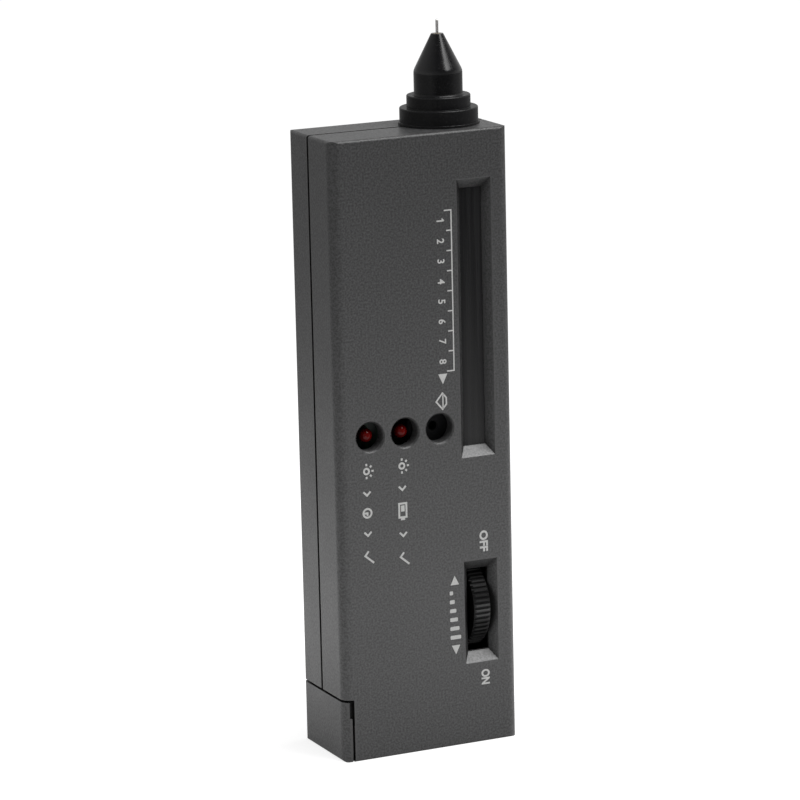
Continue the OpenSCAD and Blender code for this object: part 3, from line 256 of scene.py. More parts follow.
def paintFinish(look):
    f = Finish("casePaint")
    low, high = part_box("front_shell")
    fleck = f.noise(look["fleckSize"], detail=1.0)
    cloud = f.noise(look["cloudSize"], detail=3.0)
    # edges found by inward occlusion turn lighter: rubbed wear together with a painted highlight
    wearAndHighlight = f.ramp(f.crevice(look["edgeReach"], inside=True), *look["edgeSpan"])
    wearAndHighlight = wearAndHighlight * (look["rubLeast"] + look["rubSwing"] * f.noise(look["rubSize"]))
    gap = f.ramp(f.crevice(look["gapReach"]), *look["gapSpan"])
    upward = f.ramp(f.axis(f.node("NewGeometry", out="Normal"), "Z"), *look["upSpan"])
    aboveFoot = f.z > low.z + look["footHeight"] * mm
    # painted shade: recesses darkened by how occluded they are, apart from slopes that face up and the foot
    recess = f.ramp(f.crevice(look["recessReach"]), *look["recessSpan"], 0.0, look["recessShade"])
    shade = recess * (1 - upward) * aboveFoot
    rim = (look["holeRadius"] + look["holeRim"]) * mm
    hole = f.ramp(f.fromAxes(look["holes"]), rim - look["holeRim"] / 2 * mm, rim, 1.0, 0.0) * (f.y < 0)
    deep = hole * f.ramp(f.y, low.y + look["holeDepth"] / 2 * mm, low.y + look["holeDepth"] * mm)
    width = look["browWidth"] * mm
    brow = f.ramp(f.z, high.z - 1.5 * width, high.z - width / 2)
    brow = brow * f.ramp(f.y, low.y + 1.5 * width, low.y + width / 2)
    # share of painted shade colour in seams and recesses, less of it in the holes
    shadeShare = gap.most(shade * (1 - hole * (1 - look["holeShade"])))
    colour = f.blend(f.ramp(fleck, *look["fleckSpan"]), look["base"], look["fleck"])
    colour = f.blend(wearAndHighlight, colour, look["rubbed"])
    colour = f.blend(shadeShare, colour, look["shadeColour"])
    # painted light: the walls deep in the holes turn lighter
    colour = f.blend(deep * look["holeWallLightShare"], colour, look["holeWallLight"])
    normal = f.bump(fleck, look["grain"], look["grainStrength"], f.softEdge(look["edgeRadius"]))
    f.set(colour=colour, rough=look["rough"] + look["roughSwing"] * (cloud - fleck),
          specular=look["specular"], normal=normal)
    # painted shade on the gloss: dulled in seams, recesses, holes and along the top front edge
    dull = gap.most(shade).most(hole * look["holeDull"]).most(brow * look["browDull"])
    return f.dulled(dull, look, colour, normal)


# Ink: pale grey print, a little thin in spots
inkLook = {"base": (0.6, 0.6, 0.59), "thin": (0.38, 0.38, 0.38), "spotSize": 0.3, "spotSpan": (0.56, 0.8),
           "spotDepth": 0.006, "rough": 0.6, "spotRough": 0.15}


def inkFinish(look):
    f = Finish("printInk")
    thin = f.ramp(f.noise(look["spotSize"], detail=3.0), *look["spotSpan"])
    return f.set(colour=f.blend(thin, look["base"], look["thin"]),
                 rough=look["rough"] + look["spotRough"] * thin, normal=f.bump(thin, -look["spotDepth"]))


# Probe: turned black plastic with faint lathe rings round its axis and dust in specks, dull on the collar
probeLook = {"base": (0.005, 0.005, 0.0055), "dust": (0.02, 0.02, 0.02), "dustSize": 0.5,
             "dustSpan": (0.55, 0.8), "dustShare": 0.5, "ringPitch": 0.22, "ringDepth": 0.0016,
             "ringStrength": 0.5, "edgeRadius": 0.1, "rough": 0.18, "dustRough": 0.1, "ringRough": 0.03,
             "specular": 0.32, "collarDull": 0.6, "collarSpan": (0.3, 0.8), "dullRough": 0.5,
             "dullSpecular": 0.15}


def probeFinish(look):
    f = Finish("probeBlack")
    rings = f.node("Math", {"operation": "SINE"}, {0: f.z * (2 * math.pi / (look["ringPitch"] * mm))})
    specks = f.ramp(f.noise(look["dustSize"], detail=3.0), *look["dustSpan"])
    colour = f.blend(specks * look["dustShare"], look["base"], look["dust"])
    normal = f.bump(rings, look["ringDepth"], look["ringStrength"], f.softEdge(look["edgeRadius"]))
    f.set(colour=colour, rough=look["rough"] + look["dustRough"] * specks + look["ringRough"] * rings,
          specular=look["specular"], normal=normal)
    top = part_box("probe_collar")[1].z
    fadeFrom, fadeTo = (top + height * mm for height in look["collarSpan"])
    return f.dulled(f.ramp(f.z, fadeFrom, fadeTo, look["collarDull"], 0.0), look, colour, normal)


# Smoked window: dark gloss with faint upright streaks, its gloss dulled as painted shade along the walls
# that it lies between
windowLook = {"base": (0.003, 0.003, 0.0035), "streak": (0.012, 0.012, 0.0125), "streakSize": 0.9,
              "streakLong": (1, 1, 60), "streakSpan": (0.4, 0.7), "hazeSize": 5.0, "hazeLong": (0.6, 1, 5),
              "rough": 0.16, "hazeRough": 0.14, "streakRough": 0.08, "specular": 0.28, "edgeRadius": 0.1,
              "wallReach": 2.5, "wallSpan": (0.04, 0.3), "wallDull": 0.85, "dullRough": 0.6,
              "dullSpecular": 0.1}


def windowFinish(look):
    f = Finish("smokedWindow")
    streak = f.ramp(f.noise(look["streakSize"], 3.0, look["streakLong"]), *look["streakSpan"])
    haze = f.noise(look["hazeSize"], 2.0, look["hazeLong"])
    colour = f.blend(streak, look["base"], look["streak"])
    f.set(colour=colour, rough=look["rough"] + look["hazeRough"] * haze + look["streakRough"] * streak,
          specular=look["specular"], normal=f.softEdge(look["edgeRadius"]))
    # painted shade: gloss dulled where the walls occlude the window
    wallShade = f.ramp(f.crevice(look["wallReach"]), *look["wallSpan"], 0.0, look["wallDull"])
    return f.dulled(wallShade, look, colour)


# Ribbed wheel: black plastic, rubbed on the crests of its ribs, with a painted highlight on the crests at
# the middle of its front
wheelLook = {"base": (0.004, 0.004, 0.004), "rubbed": (0.014, 0.014, 0.014), "rubLeast": 0.4,
             "rubSwing": 0.6, "ribDepth": 0.45, "crestHighlightColour": (0.065, 0.065, 0.065), "crestHighlightSpan": (0.9, 2.5),
             "rough": 0.44, "roughSwing": 0.2, "specular": 0.16, "edgeRadius": 0.1, "grainSize": 0.3,
             "grainDepth": 0.004, "grainStrength": 0.5}


def wheelFinish(look):
    f = Finish("wheelBlack")
    low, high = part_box("thumbwheel")
    reach = (high.z - low.z) / 2
    across = f.y - (low.y + high.y) / 2
    along = f.z - (low.z + high.z) / 2
    radius = (across * across + along * along) ** 0.5
    crest = f.ramp(radius, reach - look["ribDepth"] * mm, reach)
    grain = f.noise(look["grainSize"], detail=3.0)
    # painted highlight: crests lighter near the middle height of the wheel's front half
    highlightFrom, highlightTo = (away * mm for away in look["crestHighlightSpan"])
    crestHighlight = crest * f.ramp(abs(along), highlightFrom, highlightTo, 1.0, 0.0) * (across < 0)
    colour = f.blend(crest * (look["rubLeast"] + look["rubSwing"] * grain), look["base"], look["rubbed"])
    normal = f.bump(grain, look["grainDepth"], look["grainStrength"], f.softEdge(look["edgeRadius"]))
    return f.set(colour=f.blend(crestHighlight, colour, look["crestHighlightColour"]),
                 rough=look["rough"] + look["roughSwing"] * (grain - 0.5), specular=look["specular"],
                 normal=normal)


# Lamps: tinted resin, with painted shade darkening each dome towards its rim and to near black at its foot
lampGrain = {"size": 0.8, "rough": 0.08, "depth": 0.004, "strength": 0.3}
lampLooks = {
    "redLamp": {"core": (0.13, 0.002, 0.0015), "rim": (0.03, 0.001, 0.001), "foot": (0.004, 0.0005, 0.0005),
                "rough": 0.06, "specular": 0.12, "dome": 2.4, "radius": 1.5},
    "barLamp": {"core": (0.4, 0.05, 0.02), "rim": (0.2, 0.02, 0.01), "foot": (0.1, 0.012, 0.006),
                "rough": 0.3, "specular": 0.3, "dome": 3.0, "radius": 40.0},
}


def lampFinish(name, lamps):
    look = lampLooks[name]
    f = Finish(name)
    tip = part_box(lamps[0])[0].y
    out = f.fromAxes(lamps) / (look["radius"] * mm)
    # painted shade: darker towards the rim of each dome
    rimShade = 1 - f.ramp(1 - out * out, 0.0, 1.0) ** 0.5
    cloud = f.noise(lampGrain["size"], detail=2.0)
    # painted shade: near black at the foot of the dome
    deep = f.ramp(f.y, tip + look["dome"] / 2 * mm, tip + look["dome"] * mm)
    return f.set(colour=f.blend(deep, f.blend(rimShade, look["core"], look["rim"]), look["foot"]),
                 rough=look["rough"] + lampGrain["rough"] * cloud, specular=look["specular"],
                 normal=f.bump(cloud, lampGrain["depth"], lampGrain["strength"]))


# Plain moulded and coated finishes: a base, a second tone in a noise, roughness and a fine grain
mouldedGrain = {"span": (0.35, 0.7), "roughSwing": 0.2, "depth": 0.01, "strength": 0.4, "specular": 0.35}
mouldedLooks = {
    "component_black": {"base": (0.004, 0.004, 0.0045), "tone": (0.009, 0.009, 0.01), "rough": 0.6,
                        "size": 0.5, "specular": 0.12},
    "capacitor_sleeve": {"base": (0.02, 0.03, 0.09), "tone": (0.035, 0.05, 0.13), "rough": 0.3,
                         "size": 1.5},
    "resistor_body": {"base": (0.52, 0.38, 0.22), "tone": (0.6, 0.47, 0.3), "rough": 0.4, "size": 0.7},
    "trimmer_blue": {"base": (0.03, 0.1, 0.36), "tone": (0.05, 0.15, 0.45), "rough": 0.45, "size": 0.8},
    "control_can": {"base": (0.04, 0.04, 0.045), "tone": (0.07, 0.07, 0.075), "rough": 0.5, "size": 0.7},
    "spindle_plastic": {"base": (0.66, 0.65, 0.58), "tone": (0.74, 0.73, 0.67), "rough": 0.5, "size": 0.8},
    "lead_red": {"base": (0.4, 0.015, 0.01), "tone": (0.5, 0.03, 0.02), "rough": 0.45, "size": 0.6},
    "lead_black": {"base": (0.012, 0.012, 0.012), "tone": (0.025, 0.025, 0.025), "rough": 0.5, "size": 0.6},
    "lead_grey": {"base": (0.36, 0.36, 0.34), "tone": (0.46, 0.46, 0.44), "rough": 0.5, "size": 0.6},
    "heater_ceramic": {"base": (0.72, 0.7, 0.63), "tone": (0.8, 0.78, 0.73), "rough": 0.7, "size": 0.25},
}


def mouldedFinish(name):
    look = {**mouldedGrain, **mouldedLooks[name]}
    f = Finish(name)
    grain = f.noise(look["size"], detail=4.0)
    return f.set(colour=f.blend(f.ramp(grain, *look["span"]), look["base"], look["tone"]),
                 rough=look["rough"] + look["roughSwing"] * (grain - 0.5), specular=look["specular"],
                 normal=f.bump(grain, look["depth"], look["strength"]))


# Metals: brushed or turned, with duller spots
metalGrain = {"span": (0.45, 0.75), "spotRough": 0.2, "lineSize": 0.3, "lineLong": (8, 8, 1),
              "lineRough": 0.1, "depth": 0.002, "strength": 0.4}
metalLooks = {
    "screw_steel": {"base": (0.52, 0.52, 0.54), "dull": (0.36, 0.36, 0.37), "rough": 0.3, "size": 0.35},
    "spring_steel": {"base": (0.56, 0.56, 0.57), "dull": (0.4, 0.4, 0.4), "rough": 0.28, "size": 0.3},
    "guide_brass": {"base": (0.4, 0.31, 0.17), "dull": (0.2, 0.15, 0.08), "rough": 0.3, "size": 0.4},
    "needle_copper": {"base": (0.6, 0.59, 0.575), "dull": (0.38, 0.36, 0.345), "rough": 0.3, "size": 0.4},
}


def metalFinish(name):
    look = {**metalGrain, **metalLooks[name]}
    f = Finish(name)
    spots = f.ramp(f.noise(look["size"], detail=4.0), *look["span"])
    lines = f.noise(look["size"] * look["lineSize"], 1.0, look["lineLong"])
    rough = look["rough"] + look["spotRough"] * spots + look["lineRough"] * (lines - 0.5)
    return f.set(colour=f.blend(spots, look["base"], look["dull"]), metal=1.0, rough=rough,
                 normal=f.bump(lines, look["depth"], look["strength"]))


# Board: green mask over copper runs in two directions, both darkened nearly to black as painted shade
boardLook = {"shadedMask": (0.003, 0.02, 0.008), "run": (0.008, 0.045, 0.018), "runPitch": 2.54, "runWidth": 0.28,
             "runStep": 0.35, "runHeight": 0.03, "runStrength": 0.7, "blockSize": 9.0,
             "blockSpan": (0.49, 0.51), "rough": 0.32, "roughSwing": 0.15, "roughSize": 0.8}


def boardFinish(look):
    f = Finish("boardGreen")
    pitch = look["runPitch"] * mm
    block = f.ramp(f.noise(look["blockSize"], detail=0.0), *look["blockSpan"])

    def runs(axis):
        cell = f.node("Math", {"operation": "FRACT"}, {0: axis / pitch + look["runStep"] * block})
        return abs(cell - 0.5) < look["runWidth"] / 2

    lines = runs(f.x) * block + runs(f.z) * (1 - block)
    return f.set(colour=f.blend(lines, look["shadedMask"], look["run"]),
                 rough=look["rough"] + look["roughSwing"] * f.noise(look["roughSize"]),
                 normal=f.bump(lines, look["runHeight"], look["runStrength"]))


# Battery: dark printed jacket with a copper band under its cap
batteryLook = {"jacket": (0.014, 0.014, 0.017), "band": (0.5, 0.26, 0.1), "bandHeight": 9.0, "cap": 5.5,
               "metal": 0.15, "bandMetal": 0.75, "rough": 0.3, "scuffSize": 2.5, "scuffLong": (1, 1, 4),
               "scuffSpan": (0.55, 0.8), "scuffRough": 0.25, "scuffDepth": 0.008, "scuffStrength": 0.5}


def batteryFinish(look):
    f = Finish("batteryCan")
    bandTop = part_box("battery")[1].z - look["cap"] * mm
    band = (f.z > bandTop - look["bandHeight"] * mm) * (f.z < bandTop)
    scuff = f.ramp(f.noise(look["scuffSize"], 5.0, look["scuffLong"]), *look["scuffSpan"])
    return f.set(colour=f.blend(band, look["jacket"], look["band"]),
                 metal=look["metal"] + look["bandMetal"] * band,
                 rough=look["rough"] + look["scuffRough"] * scuff,
                 normal=f.bump(scuff, -look["scuffDepth"], look["scuffStrength"]))


finishes = {
    "case_paint": paintFinish(paintLook), "probe_black": probeFinish(probeLook),
    "smoked_window": windowFinish(windowLook), "wheel_black": wheelFinish(wheelLook),
    "red_lamp": lampFinish("redLamp", ("ready_led", "battery_led")),
    "bar_lamp": lampFinish("barLamp", ("bar_leds",)),
    "board_green": boardFinish(boardLook), "battery_can": batteryFinish(batteryLook),
    "print_ink": inkFinish(inkLook),
}
finishes.update({name: mouldedFinish(name) for name in mouldedLooks})
finishes.update({name: metalFinish(name) for name in metalLooks})
for part in frame["record"]["subparts"]:
    shown = nodes[part["node"]]
    shown.data.materials.clear()
    shown.data.materials.append(finishes[part["material_slot"]])
print("finishes:", len(finishes))


# Print on the front: flat shapes made a little below the face, then raised to the thickness of the ink
inkSheet = {"sink": 0.02, "raise": 0.03, "merge": 0.002, "curveSteps": 4}
inkDeep = inkSheet["sink"] + inkSheet["raise"]
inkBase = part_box("front_shell")[0].y + inkSheet["sink"] * mm
facing = (math.pi / 2, 0, 0)


def at(x, z):
    return Vector((x * mm, inkBase, z * mm))


def clearPick():
    if bpy.context.object and bpy.context.object.mode == "EDIT":
        bpy.ops.object.mode_set(mode="OBJECT")
    bpy.ops.object.select_all(action="DESELECT")


# Picks edges or vertices of the mesh being edited by a test on their middle
def pick(kind, test):
    mesh = bpy.context.object.data
    bpy.ops.mesh.select_mode(type={"edges": "EDGE", "vertices": "VERT"}[kind])
    bpy.ops.mesh.select_all(action="DESELECT")
    bpy.ops.object.mode_set(mode="OBJECT")
    for item in getattr(mesh, kind):
        corners = [item.index] if kind == "vertices" else item.vertices
        middle = sum((mesh.vertices[i].co for i in corners), Vector()) / len(corners)
        item.select = test(middle)
    bpy.ops.object.mode_set(mode="EDIT")


def drawOut(x=0.0, y=0.0, z=0.0):
    bpy.ops.mesh.extrude_region_move(TRANSFORM_OT_translate={"value": (x * mm, y * mm, z * mm)})


# Turns what is picked about the y axis through a point of the face
def turnAbout(x, z, angle):
    bpy.ops.transform.rotate(value=angle, orient_axis="Y", center_override=at(x, z))


# Flat rectangle by its middle and its size
def slab(x, z, wide, tall):
    bpy.ops.mesh.primitive_plane_add(size=mm, location=at(x, z), rotation=facing)
    bpy.ops.transform.resize(value=(wide, 1, tall))


def startMark(name):
    clearPick()
    bpy.ops.object.add(type="MESH")
    mark = bpy.context.object
    mark.name = name
    bpy.ops.object.mode_set(mode="EDIT")
    return mark


# Raises all flat shapes of a mark
def finishMark(mark):
    bpy.ops.mesh.select_all(action="SELECT")
    bpy.ops.mesh.remove_doubles(threshold=inkSheet["merge"] * mm)
    drawOut(y=-inkDeep)
    bpy.ops.mesh.select_all(action="SELECT")
    bpy.ops.mesh.normals_make_consistent(inside=False)
    bpy.ops.object.mode_set(mode="OBJECT")
    giveInk(mark)


# Hands a printed piece to the frame
def giveInk(mark):
    mark.data.materials.clear()
    mark.data.materials.append(finishes["print_ink"])
    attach(mark, "case")


# Scale: an upright rule with ticks to its left, one number between each two ticks
scale = {"x": 6.75, "first": 114.35, "pitch": 4.28, "count": 8, "width": 0.27, "tick": 1.05,
         "endTick": 1.5, "touch": 0.05, "numberX": 4.2, "numberHeight": 1.65, "numberBold": 0.03,
         "flagIn": 0.22, "flag": 0.7}


def makeScale(look):
    top = look["first"] + look["pitch"] / 2
    length = look["pitch"] * look["count"]
    width = look["width"]
    touch = look["touch"] * mm
    mark = startMark("scale_rule")
    slab(look["x"], top - length / 2, width, length + width)
    ticks = [top - i * look["pitch"] for i in range(look["count"] + 1)]
    cuts = [z + side * width for z in ticks[1:-1] for side in (-0.5, 0.5)]
    for z in cuts + [ticks[0] - width / 2, ticks[-1] + width / 2]:
        bpy.ops.mesh.select_all(action="SELECT")
        bpy.ops.mesh.bisect(plane_co=at(0, z), plane_no=(0, 0, 1))
    left = (look["x"] - width / 2) * mm
    for z in ticks:
        pick("edges", lambda m: abs(m.x - left) < touch and abs(m.z - z * mm) < touch)
        drawOut(x=-look["endTick"] if z in (ticks[0], ticks[-1]) else -look["tick"])
    # the flag of the first number
    place = look["numberX"] + look["numberHeight"] / 2 - look["flagIn"], look["first"] + look["flagIn"]
    slab(*place, width, look["flag"])
    turnAbout(*place, math.pi / 4)
    finishMark(mark)


# Words and numbers read downwards, with their tops to the right; each is (word, x, z, height, length)
def makeWords(name, words, bold):
    downwards = Matrix(((0, 1, 0), (0, 0, -1), (-1, 0, 0))).to_4x4()
    halfDeep = Vector((0, inkDeep / 2 * mm, 0))
    made = []
    for word, x, z, height, length in words:
        clearPick()
        bpy.ops.object.text_add()
        letters = bpy.context.object.data
        letters.body = word
        letters.size = height * mm
        letters.offset = bold * mm
        letters.extrude = inkDeep / 2 * mm
        letters.resolution_u = inkSheet["curveSteps"]
        bpy.ops.object.convert(target="MESH")
        text = bpy.context.object
        bpy.ops.object.origin_set(type="ORIGIN_GEOMETRY", center="BOUNDS")
        tall = height * mm / text.dimensions.y
        wide = length * mm / text.dimensions.x if length else tall
        place = Matrix.Translation(at(x, z) - halfDeep)
        text.matrix_world = place @ downwards @ Matrix.Diagonal((wide, tall, 1, 1))
        bpy.ops.object.transform_apply(location=True, rotation=True, scale=True)
        made.append(text)
    clearPick()
    for text in made:
        text.select_set(True)
    bpy.context.view_layer.objects.active = made[0]
    bpy.ops.object.join()
    made[0].name = name
    giveInk(made[0])


makeScale(scale)
makeWords("scale_numbers", [(str(i + 1), scale["numberX"], scale["first"] - i * scale["pitch"],
                             scale["numberHeight"], None) for i in range(scale["count"])],
          scale["numberBold"])
switch = {"words": [("OFF", 12.95, 44.4, 2.0, 4.6), ("ON", 12.8, 14.4, 2.0, 3.35)], "bold": 0.08}
makeWords("switch_words", switch["words"], switch["bold"])
print("scale and switch words printed")


# Arrowhead, point up or down: a three-cornered circle of radius 1 is sqrt(3) wide and 1.5 tall
def arrowhead(x, z, wide, tall, up):
    bpy.ops.mesh.primitive_circle_add(vertices=3, radius=mm, fill_type="NGON", location=at(x, z),
                                      rotation=(math.pi / 2, 0 if up else math.pi, 0))
    bpy.ops.transform.resize(value=(wide / math.sqrt(3), 1, tall / 1.5))


pointer = {"x": 4.08, "z": 80.9, "wide": 2.1, "tall": 2.2}
mark = startMark("scale_pointer")
arrowhead(pointer["x"], pointer["z"], pointer["wide"], pointer["tall"], False)
finishMark(mark)

# Loudness sign: bars that grow towards the loud end, between two arrowheads
volume = {"x": 5.9, "high": 36.4, "low": 21.6, "wide": 2.0, "tall": 2.0, "bars": 6, "barTop": 33.9,
          "barPitch": 1.96, "barTall": 0.85, "barShort": 0.8, "barLong": 2.5, "corner": 0.2,
          "cornerSteps": 3}


def makeVolume(look):
    mark = startMark("volume_mark")
    arrowhead(look["x"], look["high"], look["wide"], look["tall"], True)
    arrowhead(look["x"], look["low"], look["wide"], look["tall"], False)
    left = look["x"] - look["barLong"] / 2
    for i in range(look["bars"]):
        wide = look["barShort"] + (look["barLong"] - look["barShort"]) * i / (look["bars"] - 1)
        slab(left + wide / 2, look["barTop"] - i * look["barPitch"], wide, look["barTall"])
        bpy.ops.mesh.bevel(offset=look["corner"] * mm, segments=look["cornerSteps"], affect="VERTICES")
    finishMark(mark)


makeVolume(volume)

# Gem sign by the end of the scale: an outline with its top cut flat and a line across its girdle
gem = {"x": 3.9, "z": 75.9, "half": 2.0, "tall": 0.85, "cut": 1.0, "cutFrom": 0.9, "line": 0.34,
       "girdleUp": 0.1, "girdleLine": 0.272, "girdleLong": 3.184}


def makeGem(look):
    mark = startMark("gem_mark")
    bpy.ops.mesh.primitive_circle_add(vertices=4, radius=look["half"] * mm, fill_type="NGON",
                                      location=at(look["x"], look["z"]), rotation=facing)
    bpy.ops.transform.resize(value=(look["tall"], 1, 1))
    pick("vertices", lambda m: m.x > (look["x"] + look["half"] * look["tall"] * look["cutFrom"]) * mm)
    bpy.ops.mesh.bevel(offset=look["cut"] * mm, segments=1, affect="VERTICES")
    bpy.ops.mesh.select_mode(type="FACE")
    bpy.ops.mesh.select_all(action="SELECT")
    leaveOutline(look["line"])
    slab(look["x"] + look["girdleUp"], look["z"], look["girdleLine"], look["girdleLong"])
    finishMark(mark)


# Leaves only a line along the border of the faces that are picked
def leaveOutline(line):
    bpy.ops.mesh.select_mode(type="FACE")
    bpy.ops.mesh.inset(thickness=line * mm)
    bpy.ops.mesh.delete(type="FACE")


makeGem(gem)

# Signs below the two lamps, in a row that reads downwards like the numbers
sign = {"line": 0.42, "ring": 0.8, "ringCorners": 24, "rays": 5, "rayIn": 1.15, "rayOut": 1.65,
        "clock": 1.15, "longHand": 0.5, "shortHand": 0.35, "cellWide": 2.1, "cellTall": 3.4, "cap": 0.95,
        "fillUp": 0.12, "fillTall": 0.76, "fillLines": 3, "tickLong": 2.4, "tickShort": 1.05,
        "tickLeft": 0.75, "tickTurn": -130, "chevron": 0.95, "chevronDown": 0.5, "chevronTurn": -45}


def ringShape(x, z, radius):
    bpy.ops.mesh.primitive_circle_add(vertices=sign["ringCorners"], radius=radius * mm, fill_type="NGON",
                                      location=at(x, z), rotation=facing)
    leaveOutline(sign["line"])


# Ring with rays on the side where the words have their tops
def lampShape(x, z):
    ringShape(x, z, sign["ring"])
    for i in range(sign["rays"]):
        slab(x, z + (sign["rayIn"] + sign["rayOut"]) / 2, sign["line"], sign["rayOut"] - sign["rayIn"])
        turnAbout(x, z, math.pi * (i / (sign["rays"] - 1) - 1))


# A small square drawn out into an arm upwards and one to the left, then turned about its middle
def elbowShape(x, z, first, second, turn):
    slab(x, z, sign["line"], sign["line"])
    middle = at(x, z)
    reach = sign["line"] / 2 * mm
    pick("edges", lambda m: (m - middle - Vector((0, 0, reach))).length < reach / 2)
    drawOut(z=first)
    pick("edges", lambda m: (m - middle + Vector((reach, 0, 0))).length < reach / 2)
    drawOut(x=-second)
    bpy.ops.mesh.select_linked()
    turnAbout(x, z, math.radians(turn))


def tickShape(x, z):
    elbowShape(x - sign["tickLeft"], z, sign["tickLong"], sign["tickShort"], sign["tickTurn"])


def chevronShape(x, z):
    elbowShape(x, z - sign["chevronDown"], sign["chevron"], sign["chevron"], sign["chevronTurn"])


def clockShape(x, z):
    ringShape(x, z, sign["clock"])
    elbowShape(x, z, sign["longHand"], 0.0, -90)
    elbowShape(x, z, sign["shortHand"], 0.0, 180)


def cellShape(x, z):
    wide, tall, line = sign["cellWide"], sign["cellTall"], sign["line"]
    margin = sign["fillLines"] * line
    slab(x, z, wide, tall)
    leaveOutline(line)
    slab(x, z - tall / 2 - line / 2, sign["cap"], line)
    slab(x, z + tall * sign["fillUp"], wide - margin, tall * sign["fillTall"] - margin)


def makeSigns(name, x, shapes):
    mark = startMark(name)
    for shape, z in shapes:
        shape(x, z)
    finishMark(mark)


readySigns = {"x": -14.1, "row": [(lampShape, 62.9), (chevronShape, 58.2), (clockShape, 53.9),
                                  (chevronShape, 49.5), (tickShape, 44.7)]}
batterySigns = {"x": -5.9, "row": [(lampShape, 63.1), (chevronShape, 58.4), (cellShape, 53.5),
                                   (chevronShape, 48.4), (tickShape, 43.4)]}
makeSigns("ready_mark", readySigns["x"], readySigns["row"])
makeSigns("battery_mark", batterySigns["x"], batterySigns["row"])
print("signs printed")

# Spring under the needle: round wire wound up its axis, in place of the needle_spring node
spring = {"wire": 0.36, "across": 2.8, "turns": 9, "sides": 10, "steps": 32}


def makeSpring(look):
    low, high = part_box("needle_spring")
    length = high.z - low.z
    foot = Vector(((low.x + high.x) / 2, (low.y + high.y) / 2, low.z))
    wire = look["wire"] * mm
    clearPick()
    bpy.ops.mesh.primitive_circle_add(vertices=look["sides"], radius=wire / 2, rotation=facing,
                                      location=foot + Vector((look["across"] / 2 * mm, 0, wire / 2)))
    coil = bpy.context.object
    coil.name = "coil_spring"
    bpy.context.scene.cursor.location = foot
    bpy.ops.object.origin_set(type="ORIGIN_CURSOR")
    bpy.ops.object.transform_apply(location=False, rotation=True, scale=False)
    bpy.ops.object.modifier_add(type="SCREW")
    wind = coil.modifiers[-1]
    wind.screw_offset = (length - wire) / look["turns"]
    wind.iterations = look["turns"]
    wind.steps = wind.render_steps = look["steps"]
    bpy.ops.object.modifier_apply(modifier=wind.name)
    bpy.ops.object.transform_apply(location=True)
    bpy.ops.object.mode_set(mode="EDIT")
    bpy.ops.mesh.select_all(action="SELECT")
    bpy.ops.mesh.fill_holes(sides=look["sides"])
    bpy.ops.mesh.normals_make_consistent(inside=False)
    bpy.ops.object.mode_set(mode="OBJECT")
    bpy.ops.object.shade_smooth_by_angle()
    coil.data.materials.append(finishes["spring_steel"])
    press = next(j for j in frame["record"]["behaviour"]["joints"] if j["name"] == "needle_press")
    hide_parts("needle_spring")
    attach(coil, "case")
    1 - press["range_m"][1] / length
    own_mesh(coil)


makeSpring(spring)
print("spring wound")

# Floor: white to the eye; gloss and glass show it brightest a little way off the object, dim at its foot as
# a painted shadow and far off, and in front it fades to nothing; its own colour fades from pale to dim far
# off, a painted fall-off of the light
stage = {"size": 20.0, "pale": 0.42, "dim": 0.06, "rough": 0.9, "near": 0.2, "far": 0.58, "glow": 0.8,
         "foot": 0.12, "footMirror": 0.2, "front": 1.25, "behind": 1.0, "behindRest": 0.28,
         "behindSpan": (0.08, 0.36), "aside": -0.42, "ahead": -0.9, "leftSpan": (0.1, 0.6),
         "rightSpan": (0.15, 0.55)}
clearPick()
bpy.ops.mesh.primitive_plane_add(size=stage["size"], location=(0, 0, cadBox[0][2]))
floor = bpy.context.object
floor.name = "floor"


def floorFinish(look):
    f = Finish("floorWhite")
    away = (f.x * f.x + f.y * f.y) ** 0.5
    far = f.ramp(away, look["near"], look["far"])
    # painted shadow: the floor's glow in gloss and glass dims at the object's foot
    foot = f.ramp(away, 0.0, look["foot"], look["footMirror"], 1.0)
    sideways = look["aside"] * f.x / away
    forwards = look["ahead"] * f.y / away
    ahead = f.ramp(sideways + forwards, *look["leftSpan"]) * f.ramp(forwards - sideways, *look["rightSpan"])
    eye, gloss, glass = (f.node("LightPath", out=name) for name in
                         ("Is Camera Ray", "Is Glossy Ray", "Is Transmission Ray"))
    inFront = (1 - far) * look["front"]
    behind = f.ramp(away, *look["behindSpan"], look["behind"], look["behindRest"])
    shine = foot * (ahead * inFront + (1 - ahead) * behind)
    strength = eye * (look["glow"] + (1 - look["glow"]) * far) + gloss.most(glass) * shine
    glow = f.node("Emission", sockets={"Strength": strength})
    # painted fall-off of the light: the floor's colour fades from pale to dim far off
    f.set(colour=f.blend(far, (look["pale"],) * 3, (look["dim"],) * 3), rough=look["rough"], specular=0.0)
    return f.show("AddShader", f.own(), glow)


floor.data.materials.append(floorFinish(stage))

# Light: one softbox overhead, to the front and the right
softbox = {"aim": (0, 0, 0.07), "toward": (0.36, -0.28, 0.89), "distance": 0.8, "size": 0.66, "power": 9.8}
clearPick()
bpy.ops.object.light_add(type="AREA")
lamp = bpy.context.object
lamp.name = "softbox"
lamp.data.shape = "SQUARE"
lamp.data.size = softbox["size"]
lamp.data.energy = softbox["power"]
lamp.location = Vector(softbox["aim"]) + Vector(softbox["toward"]) * softbox["distance"]
lamp.rotation_euler = Vector(softbox["toward"]).to_track_quat("Z", "Y").to_euler()

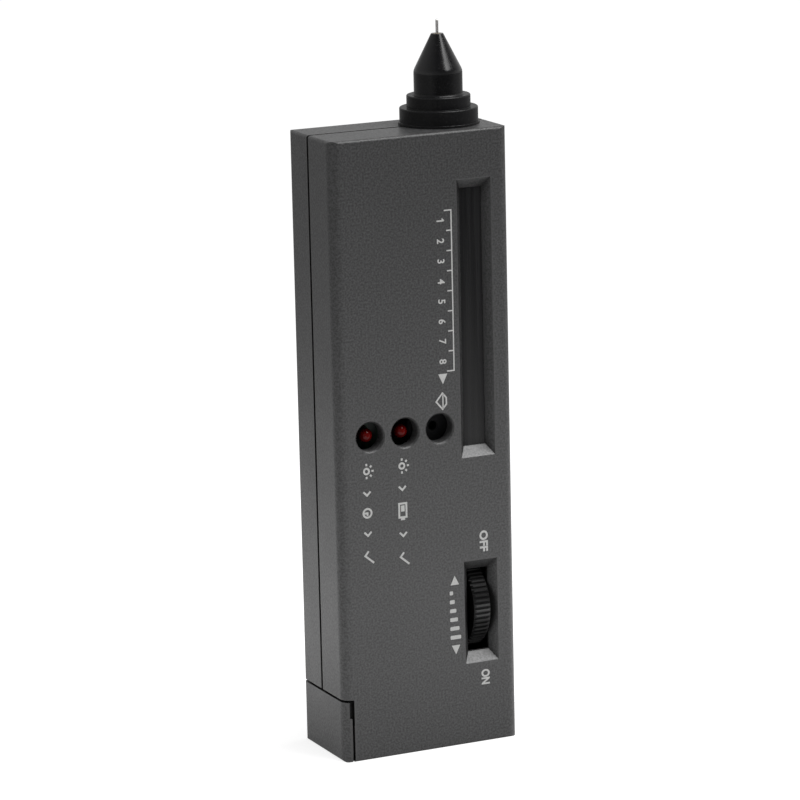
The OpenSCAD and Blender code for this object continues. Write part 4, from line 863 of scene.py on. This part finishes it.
# Room: white round the horizon, higher up behind and to the left, dimmer in front, and dim overhead
room = {"side": 0.85, "front": 0.42, "frontSpan": (0.3, 0.95), "behind": 0.65, "behindSpan": (-0.9, -0.3),
        "above": 0.06, "from": 0.1, "to": 0.5, "toBehind": 1.3, "toSpan": (-0.5, 0.3), "toLeft": 0.5,
        "leftSpan": (0.1, 0.6)}


def lightRoom(look):
    world = bpy.data.worlds.new("studioRoom")
    bpy.context.scene.world = world
    world.use_nodes = True
    w = Bench(world.node_tree)
    direction = w.node("TexCoord", out="Generated")
    rise = w.axis(direction, "Z")
    ahead = w.axis(direction, "Y") * -1
    left = w.axis(direction, "X") * -1
    horizon = w.ramp(ahead, *look["frontSpan"], look["side"], look["front"])
    horizon = horizon * w.ramp(ahead, *look["behindSpan"], look["behind"], 1.0)
    reach = w.ramp(ahead, *look["toSpan"], look["toBehind"], look["to"])
    reach = reach + w.ramp(left, *look["leftSpan"], 0.0, look["toLeft"])
    background = w.tree.nodes["Background"].inputs
    w.feed(background["Strength"], w.ramp(rise, look["from"], reach, horizon, look["above"]))
    w.feed(background["Color"], (1, 1, 1, 1))


lightRoom(room)
bpy.context.scene.view_settings.view_transform = "Standard"
print("stage and light set")

# Camera: fitted to the corners of the case
view = {"azimuth": -25.13, "elevation": 12.52, "roll": -1.32, "distance": 890.7,
        "target": (-1.04, 0.0, 74.73), "focalPixels": 4198.7, "imagePixels": 800, "sensor": 36.0}


def aimCamera(look):
    turn, lift, roll = (math.radians(look[key]) for key in ("azimuth", "elevation", "roll"))
    ahead = Vector((-math.sin(turn) * math.cos(lift), math.cos(turn) * math.cos(lift), -math.sin(lift)))
    level = Vector((math.cos(turn), math.sin(turn), 0))
    upright = level.cross(ahead)
    right = math.cos(roll) * level + math.sin(roll) * upright
    up = math.cos(roll) * upright - math.sin(roll) * level
    place = (Vector(look["target"]) - ahead * look["distance"]) * mm
    clearPick()
    bpy.ops.object.camera_add()
    camera = bpy.context.object
    camera.matrix_world = Matrix.Translation(place) @ Matrix((right, up, -ahead)).transposed().to_4x4()
    camera.data.sensor_width = look["sensor"]
    camera.data.lens = look["sensor"] * look["focalPixels"] / look["imagePixels"]
    bpy.context.scene.camera = camera


aimCamera(view)
clearPick()
